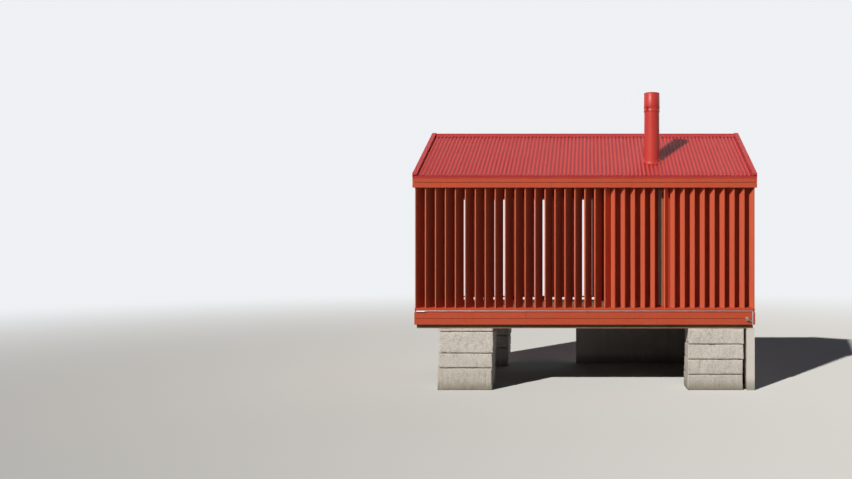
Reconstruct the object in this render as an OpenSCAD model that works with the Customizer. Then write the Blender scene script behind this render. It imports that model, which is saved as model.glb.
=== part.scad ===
// Slatted boathouse on granite piers, seen from its long water side.
// X runs along the long side, +X to the land, +Y away from the water side, Z up.
// The origin is at the low-water foot of the piers, below the middle of the roof.

/* [Slat walls] */
// Distance from one upright slat to the next
slat_pitch = 188; // [175:0.5:200]
// Distance from one open seaward slat of the back to the next
back_slat_pitch = 186.5; // [180:0.5:190]
// Thickness of a slat, the narrow edge that faces outward
slat_thick = 26; // [22:1:45]
// Width of a slat over the room and in the end walls, from its outer edge to its inner edge
slat_width = 143; // [125:1:160]
// Width of an open seaward slat of a long side
seaward_width = 230; // [190:1:235]
// Number of open slats at the seaward end of a long side
seaward_slats = 20; // [16:1:24]
// Number of slats over the lined room at the landward end
landward_slats = 15; // [12:1:18]
// Turn of the seaward slats, their inner edge toward the land
seaward_turn = 33; // [25:1:55]
// Turn of the landward slats, their inner edge toward the sea
landward_turn = 24; // [10:1:28]
// Place in the landward row of the slat that is turned like the seaward ones
odd_slat = 5; // [3:1:9]
// Height of the slats between sill and head ledge
slat_height = 2290; // [2000:10:2500]
// Play between the slats and the lining behind them
slat_play = 3; // [2:1:8]

/* [Floor] */
// Height of the pier tops over the water
pier_top = 1170; // [1000:10:1400]
// Height of the two long floor beams
beam_height = 150; // [120:5:200]
// Width of the two long floor beams
beam_width = 140; // [100:5:180]
// Distance of the beams' outer sides behind the pier faces
beam_inset = 40; // [0:5:100]
// Height of the floor joists
joist_height = 130; // [100:5:170]
// Width of a floor joist
joist_width = 48; // [40:1:70]
// Number of floor joists
joist_count = 11; // [10:1:13]
// Thickness of the floor deck
deck_thick = 28; // [22:1:40]
// Overall height of the two base boards
base_height = 232; // [220:2:280]
// Thickness of the base and eave boards
board_thick = 28; // [20:1:34]
// Open joint between two fascia boards
board_joint = 6; // [3:1:8]
// Height of the sill that the slats stand on
sill_height = 82; // [75:1:110]
// Height of the recess below the sill nose, where the water pipe runs
sill_recess = 39; // [34:1:42]
// Reach of the sill nose past the slats
sill_nose = 6; // [4:1:45]
// Fall of the sill nose toward its front
sill_fall = 10; // [5:1:15]
// Rise of the sill's seat from the slat edges back to the lining
seat_rise = 14; // [8:1:24]
// Height of the open slots below the seaward part of the back sill
slot_height = 66; // [50:1:70]
// Number of those slots
slot_count = 5; // [4:1:6]
// Length of the back sill's feet between the slots
sill_foot = 60; // [40:5:100]

/* [Frame] */
// Side of the square posts
post_size = 100; // [80:5:110]
// Thickness of the closed lining behind the landward slats
lining_thick = 22; // [18:1:30]
// Height of the head ledge over the slats
ledge_height = 40; // [30:1:50]
// Height of the end plates that tie the long plates
end_plate_height = 140; // [100:5:160]
// Thickness of the boarded gable panels
gable_thick = 45; // [35:1:60]
// Width of the open doorway in the landward end
door_width = 900; // [800:10:1000]
// Height of the boards over the open doorway
door_head = 240; // [180:10:340]
// Thickness of the door jambs and of the door head
jamb_thick = 40; // [30:1:55]

/* [Roof] */
// Depth of the building from eave board to eave board
eave_depth = 4000; // [3700:10:4400]
// Distance from the eave board face back to the slat edges
wall_inset = 40; // [34:1:80]
// Pitch of both roof slopes in degrees
roof_pitch = 27.3; // [22:0.1:32]
// Overall height of the two eave boards
eave_height = 196; // [180:2:230]
// Lap of the eave boards below the slat tops
eave_lap = 19; // [15:1:40]
// Height of the metal strip between eave boards and roof sheet
strip_height = 14; // [12:1:90]
// Depth of the corrugated roof sheet, crest to trough
sheet_depth = 20; // [16:1:24]
// Reach of the roof sheet past the eave boards
sheet_reach = 10; // [8:1:30]
// Thickness of a roof batten
batten_thick = 25; // [20:1:34]
// Width of a roof batten
batten_width = 48; // [38:1:60]
// Number of battens on each slope
batten_count = 5; // [4:1:6]
// Depth of a rafter
rafter_depth = 120; // [100:5:150]
// Width of a rafter
rafter_width = 60; // [48:2:75]
// Number of rafters on each slope
rafter_count = 10; // [10:1:12]
// Height of the ridge beam
ridge_beam_height = 200; // [160:5:240]
// Width of the ridge beam
ridge_beam_width = 80; // [60:5:100]
// Reach of each wing of the ridge cap down the slope
cap_wing = 140; // [100:5:180]
// Radius of the roll along the ridge cap
cap_roll = 20; // [14:1:26]
// Width of the verge trims on the roof sheet
verge_width = 85; // [65:1:110]
// Height of the verge trims over the roof sheet
verge_rise = 35; // [20:1:45]
// Drop of the verge skirt below the top of the roof sheet
verge_drop = 36; // [26:1:38]
// Thickness of the metal flashings
metal_thick = 3; // [2:0.5:4]

/* [Chimney] */
// Distance of the chimney from the middle of the building, toward the land
chimney_x = 1310; // [1250:5:1500]
// Distance of the chimney from the ridge line
chimney_y = 1350; // [1000:10:1600]
// Outer diameter of the chimney pipe
chimney_d = 300; // [200:5:320]
// Wall of the insulated chimney pipe
chimney_wall = 25; // [15:1:50]
// Height of the chimney top over the roof ridge
chimney_rise = 625; // [500:5:900]
// Reach of the chimney pipe below the roof sheet
chimney_tail = 120; // [80:10:200]
// Thickness of the wider head that the chimney has above its clamp band
head_thick = 4; // [2:1:8]
// Height of the clamp band on the chimney
band_height = 100; // [60:5:140]
// Distance from the band to the chimney top
band_drop = 270; // [150:10:400]
// Thickness of the clamp band
band_thick = 6; // [4:1:12]
// Height of the flashing collar at the chimney foot
collar_height = 60; // [20:1:90]
// Thickness of the flashing collar
collar_thick = 30; // [12:1:40]

/* [Piers] */
// Width of the seaward piers
sea_pier_width = 1050; // [900:10:1150]
// Width of the landward pier
land_pier_width = 1070; // [900:10:1100]
// Depth of each pier
pier_depth = 620; // [520:10:720]
// Distance of the pier faces behind the slat face
pier_inset = 65; // [40:1:90]
// Place of the seaward piers, from the middle of the building
sea_pier_x = -2265; // [-2400:5:-2100]
// Place of the landward pier, from the middle of the building
land_pier_x = 2485; // [2300:5:2520]
// Thickness of the cap slab on the seaward piers
cap_slab = 50; // [40:1:80]
// Thickness of the concrete wall below the landward end
end_wall_thick = 146; // [120:1:160]
// Thickness of the concrete wall below the back
back_wall_thick = 150; // [120:1:200]
// Length of the concrete wall below the back
back_wall_length = 3295; // [2800:5:3600]

/* [Water pipe] */
// Diameter of the water pipe
pipe_d = 22; // [15:1:24]
// Distance between the pipe clips
clip_pitch = 620; // [500:10:800]
// Width of a pipe clip
clip_width = 18; // [12:1:25]
// Play between the pipe and the wood behind it
pipe_play = 4; // [2:1:8]
// Distance of the down pipe from the landward end of the wall
pipe_inset = 38; // [30:1:80]
// Reach of the down pipe below the base boards
pipe_drop = 10; // [5:1:40]
// Diameter of the pipe's sleeve at the seaward end
sleeve_d = 32; // [26:1:34]
// Length of the pipe's sleeve
sleeve_length = 160; // [100:5:250]
// Diameter of the tap's wall flange
tap_flange_d = 56; // [40:1:70]
// Diameter of the tap's body
tap_body_d = 26; // [18:1:34]
// Reach of the tap from the base boards
tap_reach = 60; // [45:1:80]
// Diameter of the tap's hand wheel
tap_wheel_d = 70; // [50:1:80]
// Distance of the tap from the landward end of the wall
tap_inset = 144; // [120:1:250]
// Diameter of the tap's spout
spout_d = 18; // [14:1:22]
// Length of the tap's spout
spout_length = 95; // [60:1:110]
// Fall of the tap's spout in degrees
spout_fall = 35; // [20:1:60]

/* [Tall window] */
// Width of the tall window behind the odd slat
window_width = 150; // [110:5:155]
// Width of the window's frame bars
window_bar = 20; // [14:1:26]
// Thickness of the window pane
pane_thick = 8; // [6:1:10]

/* [Hidden] */
$fn = 64;

// Colours
paint_red = "#c8543a";
paint_dark = "#7a2418";
metal_red = "#c8444a";
raw_timber = "#b08a60";
granite = "#c3bbb0";
concrete = "#b4b0a8";
silver = "#d0ccc8";

// How far a turned slat reaches behind its outer corner
function slat_reach(turn, width) = width * cos(turn) + slat_thick * sin(turn);
// How far the middle of a turned slat's outer edge lies behind its outer corner
function slat_set_back(turn) = slat_thick / 2 * sin(turn);

// Small steps between the faces of the walls, the floor and the roof
seat_inset = 5;
deck_inset = 48;
end_deck_inset = 16;
end_wall_reach = 10;
fascia_reach = 35;
sheet_side_reach = 26;
verge_reach = 2;

// Plan, as distances from the middle of the building
half_eave = eave_depth / 2;
slat_face = half_eave - wall_inset;
landward_reach = slat_reach(landward_turn, slat_width);
slat_zone = max(slat_reach(seaward_turn, seaward_width), landward_reach) + slat_play;
end_zone = max(slat_reach(seaward_turn, slat_width), landward_reach) + slat_play;
lining_face = slat_face - slat_zone;
frame_face = lining_face - lining_thick;
frame_back = frame_face - post_size;
slat_count = seaward_slats + landward_slats;
half_row = (slat_count - 1) * slat_pitch / 2;
end_face = half_row + slat_thick / 2;
end_lining_face = end_face - end_zone;
end_frame_face = end_lining_face - lining_thick;
end_frame_back = end_frame_face - post_size;
gable_back = end_face - gable_thick;
seat_face = slat_face - seat_inset;
deck_face = slat_face - deck_inset;
end_deck_face = end_face - end_deck_inset;
base_face = deck_face + board_thick;
recess_face = base_face - seat_inset;
end_base_face = end_deck_face + board_thick;
backing_back = half_eave - 2 * board_thick;
fascia_end = end_face + fascia_reach;
sheet_end = end_face + sheet_side_reach;
room_start = -half_row + (seaward_slats - 0.5) * slat_pitch;

// Heights
joist_base = pier_top + beam_height;
deck_base = joist_base + joist_height;
deck_top = deck_base + deck_thick;
sill_top = deck_top + sill_height;
slat_top = sill_top + slat_height;
ledge_top = slat_top + ledge_height;
eave_base = slat_top - eave_lap;
eave_top = eave_base + eave_height;
sheet_edge = half_eave + sheet_reach;
sheet_edge_base = eave_top + strip_height;

// Heights of the roof's layers at a distance from the ridge line
slope = tan(roof_pitch);
function sheet_base(y) = sheet_edge_base + (sheet_edge - y) * slope;
function sheet_top(y) = sheet_base(y) + sheet_depth / cos(roof_pitch);
function rafter_top(y) = sheet_base(y) - batten_thick / cos(roof_pitch);
function rafter_base(y) = rafter_top(y) - rafter_depth / cos(roof_pitch);
chimney_top = sheet_top(0) + chimney_rise;

// Clearances round the pipes, and how the eave flashing laps what is above and below it
fit_gap = 0.3;
flue_gap = 10;
flashing_reach = 150;
flashing_lap = 18;
// Pier courses from the foot up, and how far each is shifted along X
sea_courses = [0.38, 0.25, 0.37];
sea_shifts = [-12, -8, 12];
land_courses = [0.26, 0.245, 0.245, 0.25];
land_shifts = [-14, -10, -2, 6];
pier_front = slat_face - pier_inset;

// A profile drawn as [distance along Y, height], run along X
module run_x(from, to) {
    translate([from, 0, 0])
        rotate([90, 0, 90])
            linear_extrude(to - from)
                children();
}

// A profile drawn as [distance along X, height], run along Y
module run_y(from, to) {
    translate([0, to, 0])
        rotate([90, 0, 0])
            linear_extrude(to - from)
                children();
}

// A box given by its lower and upper corners
module box(low, high) {
    translate(low)
        cube(high - low);
}

// The same thing on the sides at -Y and +Y, or at -X and +X
module both_y() {
    children();
    mirror([0, 1, 0])
        children();
}

module both_x() {
    children();
    mirror([1, 0, 0])
        children();
}

// A slat with the middle of its outer edge at the origin, its inner edge toward +Y
module slat(turn, width) {
    rotate([0, 0, -turn])
        translate([-slat_thick / 2, 0, 0])
            cube([slat_thick, width, slat_height]);
}

// What the rising seat of a long sill takes off the feet of the slats
module seat_wedge() {
    run_x(-end_face, end_face)
        polygon([
            [-slat_face, sill_top],
            [-lining_face, sill_top + seat_rise],
            [-lining_face, sill_top - seat_rise],
            [-slat_face, sill_top - seat_rise]
        ]);
}

// Slats of a long side, on the side at -Y, counted from the seaward end
module slat_row(first, last, turn, width, pitch) {
    difference() {
        for (i = [first : last])
            translate([i * pitch - half_row, slat_set_back(abs(turn)) - slat_face, sill_top])
                slat(turn, width);
        seat_wedge();
    }
}

// Slats of an end wall, on the side at -X, spread evenly between two distances
module end_slat_row(from, to, turn) {
    tail = slat_width * sin(abs(turn));
    lip = slat_thick / 2 * cos(turn);
    free = to - from - tail - 2 * lip;
    count = floor(free / slat_pitch) + 1;
    start = from + lip + (turn > 0 ? tail : 0) + (free - (count - 1) * slat_pitch) / 2;
    for (i = [0 : count - 1])
        translate([slat_set_back(abs(turn)) - end_face, start + i * slat_pitch, sill_top])
            rotate([0, 0, -90])
                slat(turn, slat_width);
}

// A pier of stacked blocks, each course shifted a little along X
module stone_pier(x, width, shares, shifts, slab) {
    stack = pier_top - slab;
    feet = [for (i = 0, z = 0; i < len(shares); z = z + shares[i] * stack, i = i + 1) z];
    for (i = [0 : len(shares) - 1]) {
        left = x - width / 2 + shifts[i];
        box([left, -pier_front, feet[i]],
            [left + width, pier_depth - pier_front, feet[i] + shares[i] * stack]);
    }
    if (slab > 0)
        box([x - width / 2, -pier_front, stack],
            [x + width / 2, pier_depth - pier_front, pier_top]);
}

module front_sea_pier() {
    color(granite)
        stone_pier(sea_pier_x, sea_pier_width, sea_courses, sea_shifts, cap_slab);
}

module back_sea_pier() {
    color(granite)
        mirror([0, 1, 0])
            stone_pier(sea_pier_x, sea_pier_width, sea_courses, sea_shifts, cap_slab);
}

module front_land_pier() {
    color(granite)
        stone_pier(land_pier_x, land_pier_width, land_courses, land_shifts, 0);
}

// Concrete wall from front to back below the landward end
module landward_end_footing() {
    color(concrete)
        box([end_face + end_wall_reach - end_wall_thick, -pier_front, 0],
            [end_face + end_wall_reach, pier_front, pier_top]);
}

// Concrete wall along the back, up to the landward end wall
module back_footing() {
    wall_end = end_face + end_wall_reach - end_wall_thick;
    color(concrete)
        box([wall_end - back_wall_length, pier_front - back_wall_thick, 0],
            [wall_end, pier_front, pier_top]);
}

module floor_beams() {
    outer = pier_front - beam_inset;
    color(raw_timber)
        both_y()
            box([-end_deck_face, -outer, pier_top],
                [end_deck_face, beam_width - outer, joist_base]);
}

module floor_joists() {
    step = (2 * end_deck_face - joist_width) / (joist_count - 1);
    color(raw_timber)
        for (i = [0 : joist_count - 1])
            box([i * step - end_deck_face, -deck_face, joist_base],
                [i * step - end_deck_face + joist_width, deck_face, deck_base]);
}

module floor_deck() {
    color(raw_timber)
        box([-end_deck_face, -deck_face, deck_base], [end_deck_face, deck_face, deck_top]);
}

// Two boards, one over the other with an open joint, as a profile behind the line x = 0
module board_pair(height) {
    board = (height - board_joint) / 2;
    for (z = [0, board + board_joint])
        translate([0, z])
            square([board_thick, board]);
}

module long_base_boards() {
    run_x(-end_base_face, end_base_face)
        translate([-base_face, deck_top - base_height])
            board_pair(base_height);
}

module front_base_boards() {
    color(paint_red)
        long_base_boards();
}

module back_base_boards() {
    color(paint_red)
        mirror([0, 1, 0])
            long_base_boards();
}

module end_base_boards() {
    color(paint_red)
        both_x()
            run_y(-deck_face, deck_face)
                translate([-end_base_face, deck_top - base_height])
                    board_pair(base_height);
}

// Sill of a long side: recess for the pipe, nose with a fall, seat that rises to the lining
module long_sill() {
    nose = slat_face + sill_nose;
    run_x(-end_face, end_face)
        polygon([
            [-frame_face, deck_top],
            [-recess_face, deck_top],
            [-recess_face, deck_top + sill_recess],
            [-nose, deck_top + sill_recess],
            [-nose, sill_top - sill_fall],
            [-slat_face, sill_top],
            [-lining_face, sill_top + seat_rise],
            [-lining_face, sill_top],
            [-frame_face, sill_top]
        ]);
}

module front_sill() {
    color(paint_red)
        long_sill();
}

// The seaward part of the back sill stands on feet, with open slots between them
module back_sill() {
    open_length = end_frame_face + room_start - post_size;
    slot = (open_length - (slot_count + 1) * sill_foot) / slot_count;
    color(paint_red)
        mirror([0, 1, 0])
            difference() {
                long_sill();
                for (i = [0 : slot_count - 1])
                    translate([i * (slot + sill_foot) + sill_foot - end_frame_face, 0, deck_top])
                        box([0, -half_eave, -1], [slot, 0, slot_height]);
            }
}

module end_sills() {
    color(paint_red)
        both_x()
            box([-end_face, -frame_face, deck_top], [-end_frame_face, frame_face, sill_top]);
}

// Corner posts and a post where the lined room starts, on the side at -Y
module long_side_posts() {
    for (x = [-end_frame_face, room_start - post_size, end_frame_back])
        box([x, -frame_face, deck_top], [x + post_size, -frame_back, slat_top]);
}

module front_posts() {
    color(paint_dark)
        long_side_posts();
}

module back_posts() {
    color(paint_dark)
        mirror([0, 1, 0])
            long_side_posts();
}

// Plate over the posts with a ledge over the slats, its top cut to the rafters
module long_plate() {
    run_x(-gable_back, gable_back)
        polygon([
            [-frame_back, slat_top],
            [-frame_face, slat_top],
            [-frame_face, rafter_base(frame_face)],
            [-frame_back, rafter_base(frame_back)]
        ]);
    box([-end_face, -seat_face, slat_top], [end_face, -frame_back, ledge_top]);
}

module front_wall_plate() {
    color(paint_dark)
        difference() {
            long_plate();
            flue_hole();
        }
}

module back_wall_plate() {
    color(paint_dark)
        mirror([0, 1, 0])
            long_plate();
}

module end_plates() {
    color(paint_dark)
        both_x()
            run_y(-frame_back, frame_back)
                polygon([
                    [-end_face, slat_top],
                    [-end_frame_back, slat_top],
                    [-end_frame_back, slat_top + end_plate_height],
                    [-end_frame_face, slat_top + end_plate_height],
                    [-end_frame_face, ledge_top],
                    [-end_face, ledge_top]
                ]);
}

module front_seaward_slats() {
    color(paint_red)
        slat_row(0, seaward_slats - 1, seaward_turn, seaward_width, slat_pitch);
}

module front_landward_slats() {
    odd = seaward_slats + odd_slat;
    color(paint_red) {
        slat_row(seaward_slats, odd - 1, -landward_turn, slat_width, slat_pitch);
        slat_row(odd, odd, seaward_turn, slat_width, slat_pitch);
        slat_row(odd + 1, slat_count - 1, -landward_turn, slat_width, slat_pitch);
    }
}

module back_seaward_slats() {
    color(paint_red)
        mirror([0, 1, 0])
            slat_row(0, seaward_slats - 1, seaward_turn, seaward_width, back_slat_pitch);
}

module back_landward_slats() {
    color(paint_red)
        mirror([0, 1, 0])
            slat_row(seaward_slats, slat_count - 1, -landward_turn, slat_width, slat_pitch);
}

module seaward_end_slats() {
    color(paint_red)
        end_slat_row(-lining_face, lining_face, seaward_turn);
}

module landward_end_slats() {
    door_side = door_width / 2 + jamb_thick;
    color(paint_red)
        both_y()
            mirror([1, 0, 0])
                end_slat_row(-lining_face, -door_side, -landward_turn);
}

// Left and right edges of the window's hole in the front lining
window_left = half_row - (landward_slats - odd_slat) * slat_pitch + slat_thick + window_bar;
window_right = window_left + window_width;
window_base = sill_top + window_bar;
window_top = slat_top - window_bar;

module front_lining() {
    color(paint_dark)
        difference() {
            box([room_start, -lining_face, sill_top], [end_lining_face, -frame_face, slat_top]);
            box([window_left, -slat_face, window_base], [window_right, 0, window_top]);
        }
}

module back_lining() {
    color(paint_dark)
        box([room_start, frame_face, sill_top], [end_lining_face, lining_face, slat_top]);
}

module landward_end_lining() {
    door_side = door_width / 2 + jamb_thick;
    color(paint_dark)
        both_y()
            box([end_frame_face, -frame_face, sill_top],
                [end_lining_face, -door_side, slat_top]);
}

// Jambs, head and the boards over the doorway
module door_lining() {
    half = door_width / 2;
    door_top = slat_top - door_head;
    color(paint_red) {
        both_y()
            box([end_frame_face, -half - jamb_thick, sill_top], [end_face, -half, slat_top]);
        box([end_frame_face, -half, door_top], [end_face, half, slat_top]);
    }
}

module window_frame() {
    color(paint_dark)
        difference() {
            box([window_left, -lining_face, window_base], [window_right, -frame_face, window_top]);
            box([window_left + window_bar, -slat_face, window_base + window_bar],
                [window_right - window_bar, 0, window_top - window_bar]);
        }
}

module window_pane() {
    middle = (lining_face + frame_face) / 2;
    color("#7d8a78")
        box([window_left + window_bar, -middle - pane_thick / 2, window_base + window_bar],
            [window_right - window_bar, pane_thick / 2 - middle, window_top - window_bar]);
}

// Boarded triangle over an end wall, on the side at -X
module gable_panel() {
    run_x(-end_face, -gable_back)
        polygon([
            [-backing_back, ledge_top],
            [backing_back, ledge_top],
            [backing_back, rafter_top(backing_back)],
            [0, rafter_top(0)],
            [-backing_back, rafter_top(backing_back)]
        ]);
}

module seaward_gable() {
    color(paint_red)
        gable_panel();
}

module landward_gable() {
    color(paint_red)
        mirror([1, 0, 0])
            gable_panel();
}

// The hole round the chimney through everything on the front slope
module flue_hole() {
    translate([chimney_x, -chimney_y, slat_top])
        cylinder(d = chimney_d + 2 * flue_gap, h = chimney_top);
}

module slope_rafters() {
    step = (2 * gable_back - rafter_width) / (rafter_count - 1);
    for (i = [0 : rafter_count - 1])
        run_x(i * step - gable_back, i * step - gable_back + rafter_width)
            intersection() {
                polygon([
                    [-backing_back, rafter_base(backing_back)],
                    [-backing_back, rafter_top(backing_back)],
                    [-ridge_beam_width / 2, rafter_top(ridge_beam_width / 2)],
                    [-ridge_beam_width / 2, rafter_base(ridge_beam_width / 2)]
                ]);
                translate([-half_eave, ledge_top])
                    square([half_eave, chimney_top]);
            }
}

module front_rafters() {
    color(raw_timber)
        difference() {
            slope_rafters();
            flue_hole();
        }
}

module back_rafters() {
    color(raw_timber)
        mirror([0, 1, 0])
            slope_rafters();
}

module ridge_beam() {
    top = rafter_top(ridge_beam_width / 2);
    color(raw_timber)
        box([-gable_back, -ridge_beam_width / 2, top - ridge_beam_height],
            [gable_back, ridge_beam_width / 2, top]);
}

module slope_battens() {
    width = batten_width * cos(roof_pitch);
    low = half_eave - flashing_reach - width;
    step = (low - width) / (batten_count - 1);
    for (i = [0 : batten_count - 1]) {
        y = low - i * step;
        run_x(-end_face, end_face)
            polygon([
                [-y - width, rafter_top(y + width)],
                [-y - width, sheet_base(y + width)],
                [-y, sheet_base(y)],
                [-y, rafter_top(y)]
            ]);
    }
}

module front_battens() {
    color(raw_timber)
        difference() {
            slope_battens();
            flue_hole();
        }
}

module back_battens() {
    color(raw_timber)
        mirror([0, 1, 0])
            slope_battens();
}

module slope_sheet() {
    run_x(-sheet_end, sheet_end)
        polygon([
            [-sheet_edge, sheet_base(sheet_edge)],
            [-sheet_edge, sheet_top(sheet_edge)],
            [0, sheet_top(0)],
            [0, sheet_base(0)]
        ]);
}

module front_roof_sheet() {
    color(metal_red)
        difference() {
            slope_sheet();
            flue_hole();
        }
}

module back_roof_sheet() {
    color(metal_red)
        mirror([0, 1, 0])
            slope_sheet();
}

// Two wings on the sheet with a roll along the top, between the verge trims
module ridge_cap() {
    wing = cap_wing * cos(roof_pitch);
    lift = metal_thick / cos(roof_pitch);
    cap_end = fascia_end - verge_width;
    color(metal_red)
        run_x(-cap_end, cap_end)
            union() {
                polygon([
                    [-wing, sheet_top(wing)],
                    [0, sheet_top(0)],
                    [wing, sheet_top(wing)],
                    [wing, sheet_top(wing) + lift],
                    [0, sheet_top(0) + lift],
                    [-wing, sheet_top(wing) + lift]
                ]);
                intersection() {
                    translate([0, sheet_top(0)])
                        circle(r = cap_roll);
                    polygon([
                        [-wing, sheet_top(wing)],
                        [0, sheet_top(0)],
                        [wing, sheet_top(wing)],
                        [wing, sheet_top(0) + 2 * cap_roll],
                        [-wing, sheet_top(0) + 2 * cap_roll]
                    ]);
                }
            }
}

// A raised trim on the sheet's end with a skirt outside it, on the front slope
module slope_verge_trims() {
    edge = sheet_edge + verge_reach;
    both_x() {
        run_x(-fascia_end, verge_width - fascia_end)
            polygon([
                [-edge, sheet_top(edge)],
                [-edge, sheet_top(edge) + verge_rise],
                [0, sheet_top(0) + verge_rise],
                [0, sheet_top(0)]
            ]);
        run_x(-fascia_end, -sheet_end)
            polygon([
                [-edge, sheet_top(edge) - verge_drop],
                [-edge, sheet_top(edge)],
                [0, sheet_top(0)],
                [0, sheet_top(0) - verge_drop]
            ]);
    }
}

module front_verge_trims() {
    color(metal_red)
        slope_verge_trims();
}

module back_verge_trims() {
    color(metal_red)
        mirror([0, 1, 0])
            slope_verge_trims();
}

// Two boards before the slat tops, on a backing board that stands on the ledge, carries the
// flashing and closes the rafter ends
module long_eave_boards() {
    backing_face = half_eave - board_thick;
    seat = metal_thick / cos(roof_pitch);
    run_x(-fascia_end, fascia_end)
        translate([-half_eave, eave_base])
            board_pair(eave_height);
    run_x(-sheet_end, sheet_end)
        polygon([
            [-backing_face, ledge_top],
            [-backing_face, sheet_base(backing_face) - seat],
            [-backing_back, sheet_base(backing_back) - seat],
            [-backing_back, ledge_top]
        ]);
}

module front_eave_boards() {
    color(paint_red)
        long_eave_boards();
}

module back_eave_boards() {
    color(paint_red)
        mirror([0, 1, 0])
            long_eave_boards();
}

// Metal strip over the eave boards, turned in below the sheet
module long_eave_flashing() {
    face = half_eave + 2 * metal_thick;
    inner = half_eave - flashing_reach;
    seat = metal_thick / cos(roof_pitch);
    run_x(-sheet_end, sheet_end)
        polygon([
            [-face, eave_top - flashing_lap],
            [-face, sheet_base(face)],
            [-inner, sheet_base(inner)],
            [-inner, sheet_base(inner) - seat],
            [-half_eave, sheet_base(half_eave) - seat],
            [-half_eave, eave_top - flashing_lap]
        ]);
}

module front_eave_flashing() {
    color(metal_red)
        long_eave_flashing();
}

module back_eave_flashing() {
    color(metal_red)
        mirror([0, 1, 0])
            long_eave_flashing();
}

module chimney_pipe() {
    foot = sheet_base(chimney_y + chimney_d / 2) - chimney_tail;
    color(metal_red)
        translate([chimney_x, -chimney_y, foot])
            difference() {
                union() {
                    cylinder(d = chimney_d, h = chimney_top - foot);
                    translate([0, 0, chimney_top - band_drop - foot])
                        cylinder(d = chimney_d + 2 * head_thick, h = band_drop);
                }
                translate([0, 0, -1])
                    cylinder(d = chimney_d - 2 * chimney_wall, h = chimney_top - foot + 2);
            }
}

module chimney_band() {
    inner = chimney_d / 2 + fit_gap;
    color(metal_red)
        translate([chimney_x, -chimney_y, chimney_top - band_drop - band_height])
            difference() {
                cylinder(r = inner + band_thick, h = band_height);
                translate([0, 0, -1])
                    cylinder(r = inner, h = band_height + 2);
            }
}

// Collar on the sheet that follows the slope round the pipe
module chimney_collar() {
    inner = chimney_d / 2 + fit_gap;
    outer = inner + collar_thick;
    near = chimney_y + 2 * outer;
    far = chimney_y - 2 * outer;
    color(metal_red)
        intersection() {
            translate([chimney_x, -chimney_y, slat_top])
                difference() {
                    cylinder(r = outer, h = chimney_top - slat_top);
                    translate([0, 0, -1])
                        cylinder(r = inner, h = chimney_top - slat_top + 2);
                }
            run_x(chimney_x - 2 * outer, chimney_x + 2 * outer)
                polygon([
                    [-near, sheet_top(near)],
                    [-near, sheet_top(near) + collar_height],
                    [-far, sheet_top(far) + collar_height],
                    [-far, sheet_top(far)]
                ]);
        }
}

// Water pipe in the recess below the sill nose, down over the base boards at the landward end
module water_pipe() {
    radius = pipe_d / 2;
    sleeve = sleeve_d / 2;
    y = -recess_face - radius - pipe_play;
    z = deck_top + sill_recess - radius - 1;
    down_x = end_face - pipe_inset;
    down_y = -base_face - radius - pipe_play;
    foot = deck_top - base_height - pipe_drop;
    start = 2 * sleeve - end_face;
    color(silver) {
        translate([start, -recess_face - sleeve - fit_gap, deck_top + sleeve + fit_gap])
            rotate([0, 90, 0])
                cylinder(r = sleeve, h = sleeve_length);
        translate([start, y, z])
            rotate([0, 90, 0])
                cylinder(r = radius, h = down_x - start);
        translate([down_x, y, z])
            rotate([90, 0, 0])
                cylinder(r = radius, h = y - down_y);
        translate([down_x, y, z])
            sphere(r = radius);
        translate([down_x, down_y, z])
            sphere(r = radius);
        translate([down_x, down_y, foot])
            cylinder(r = radius, h = z - foot);
        for (x = [clip_pitch - end_face : clip_pitch : down_x - clip_width])
            box([x, y - radius - 2, z - radius - 1], [x + clip_width, -recess_face, z + radius]);
    }
}

// Outdoor tap over the joint of the base boards: flange, body, wheel and spout
module water_tap() {
    spout_start = tap_body_d / 2 - tap_reach;
    color(silver)
        translate([end_face - tap_inset, -base_face, deck_top - base_height / 2]) {
            rotate([90, 0, 0]) {
                cylinder(d = tap_flange_d, h = 2 * metal_thick);
                cylinder(d = tap_body_d, h = tap_reach);
                translate([0, 0, tap_reach])
                    cylinder(d = tap_wheel_d, h = 3 * metal_thick);
            }
            translate([0, spout_start, 0])
                rotate([0, 90 + spout_fall, 0])
                    cylinder(d = spout_d, h = spout_length);
        }
}

front_sea_pier();
back_sea_pier();
front_land_pier();
landward_end_footing();
back_footing();
floor_beams();
floor_joists();
floor_deck();
front_base_boards();
back_base_boards();
end_base_boards();
front_sill();
back_sill();
end_sills();
front_posts();
back_posts();
front_wall_plate();
back_wall_plate();
end_plates();
front_seaward_slats();
front_landward_slats();
back_seaward_slats();
back_landward_slats();
seaward_end_slats();
landward_end_slats();
front_lining();
back_lining();
landward_end_lining();
door_lining();
window_frame();
window_pane();
seaward_gable();
landward_gable();
front_rafters();
back_rafters();
ridge_beam();
front_battens();
back_battens();
front_roof_sheet();
back_roof_sheet();
ridge_cap();
front_verge_trims();
back_verge_trims();
front_eave_boards();
back_eave_boards();
front_eave_flashing();
back_eave_flashing();
chimney_pipe();
chimney_band();
chimney_collar();
water_pipe();
water_tap();
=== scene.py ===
import math
import random

import bmesh
import bpy
from mathutils import Matrix, Vector


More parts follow.
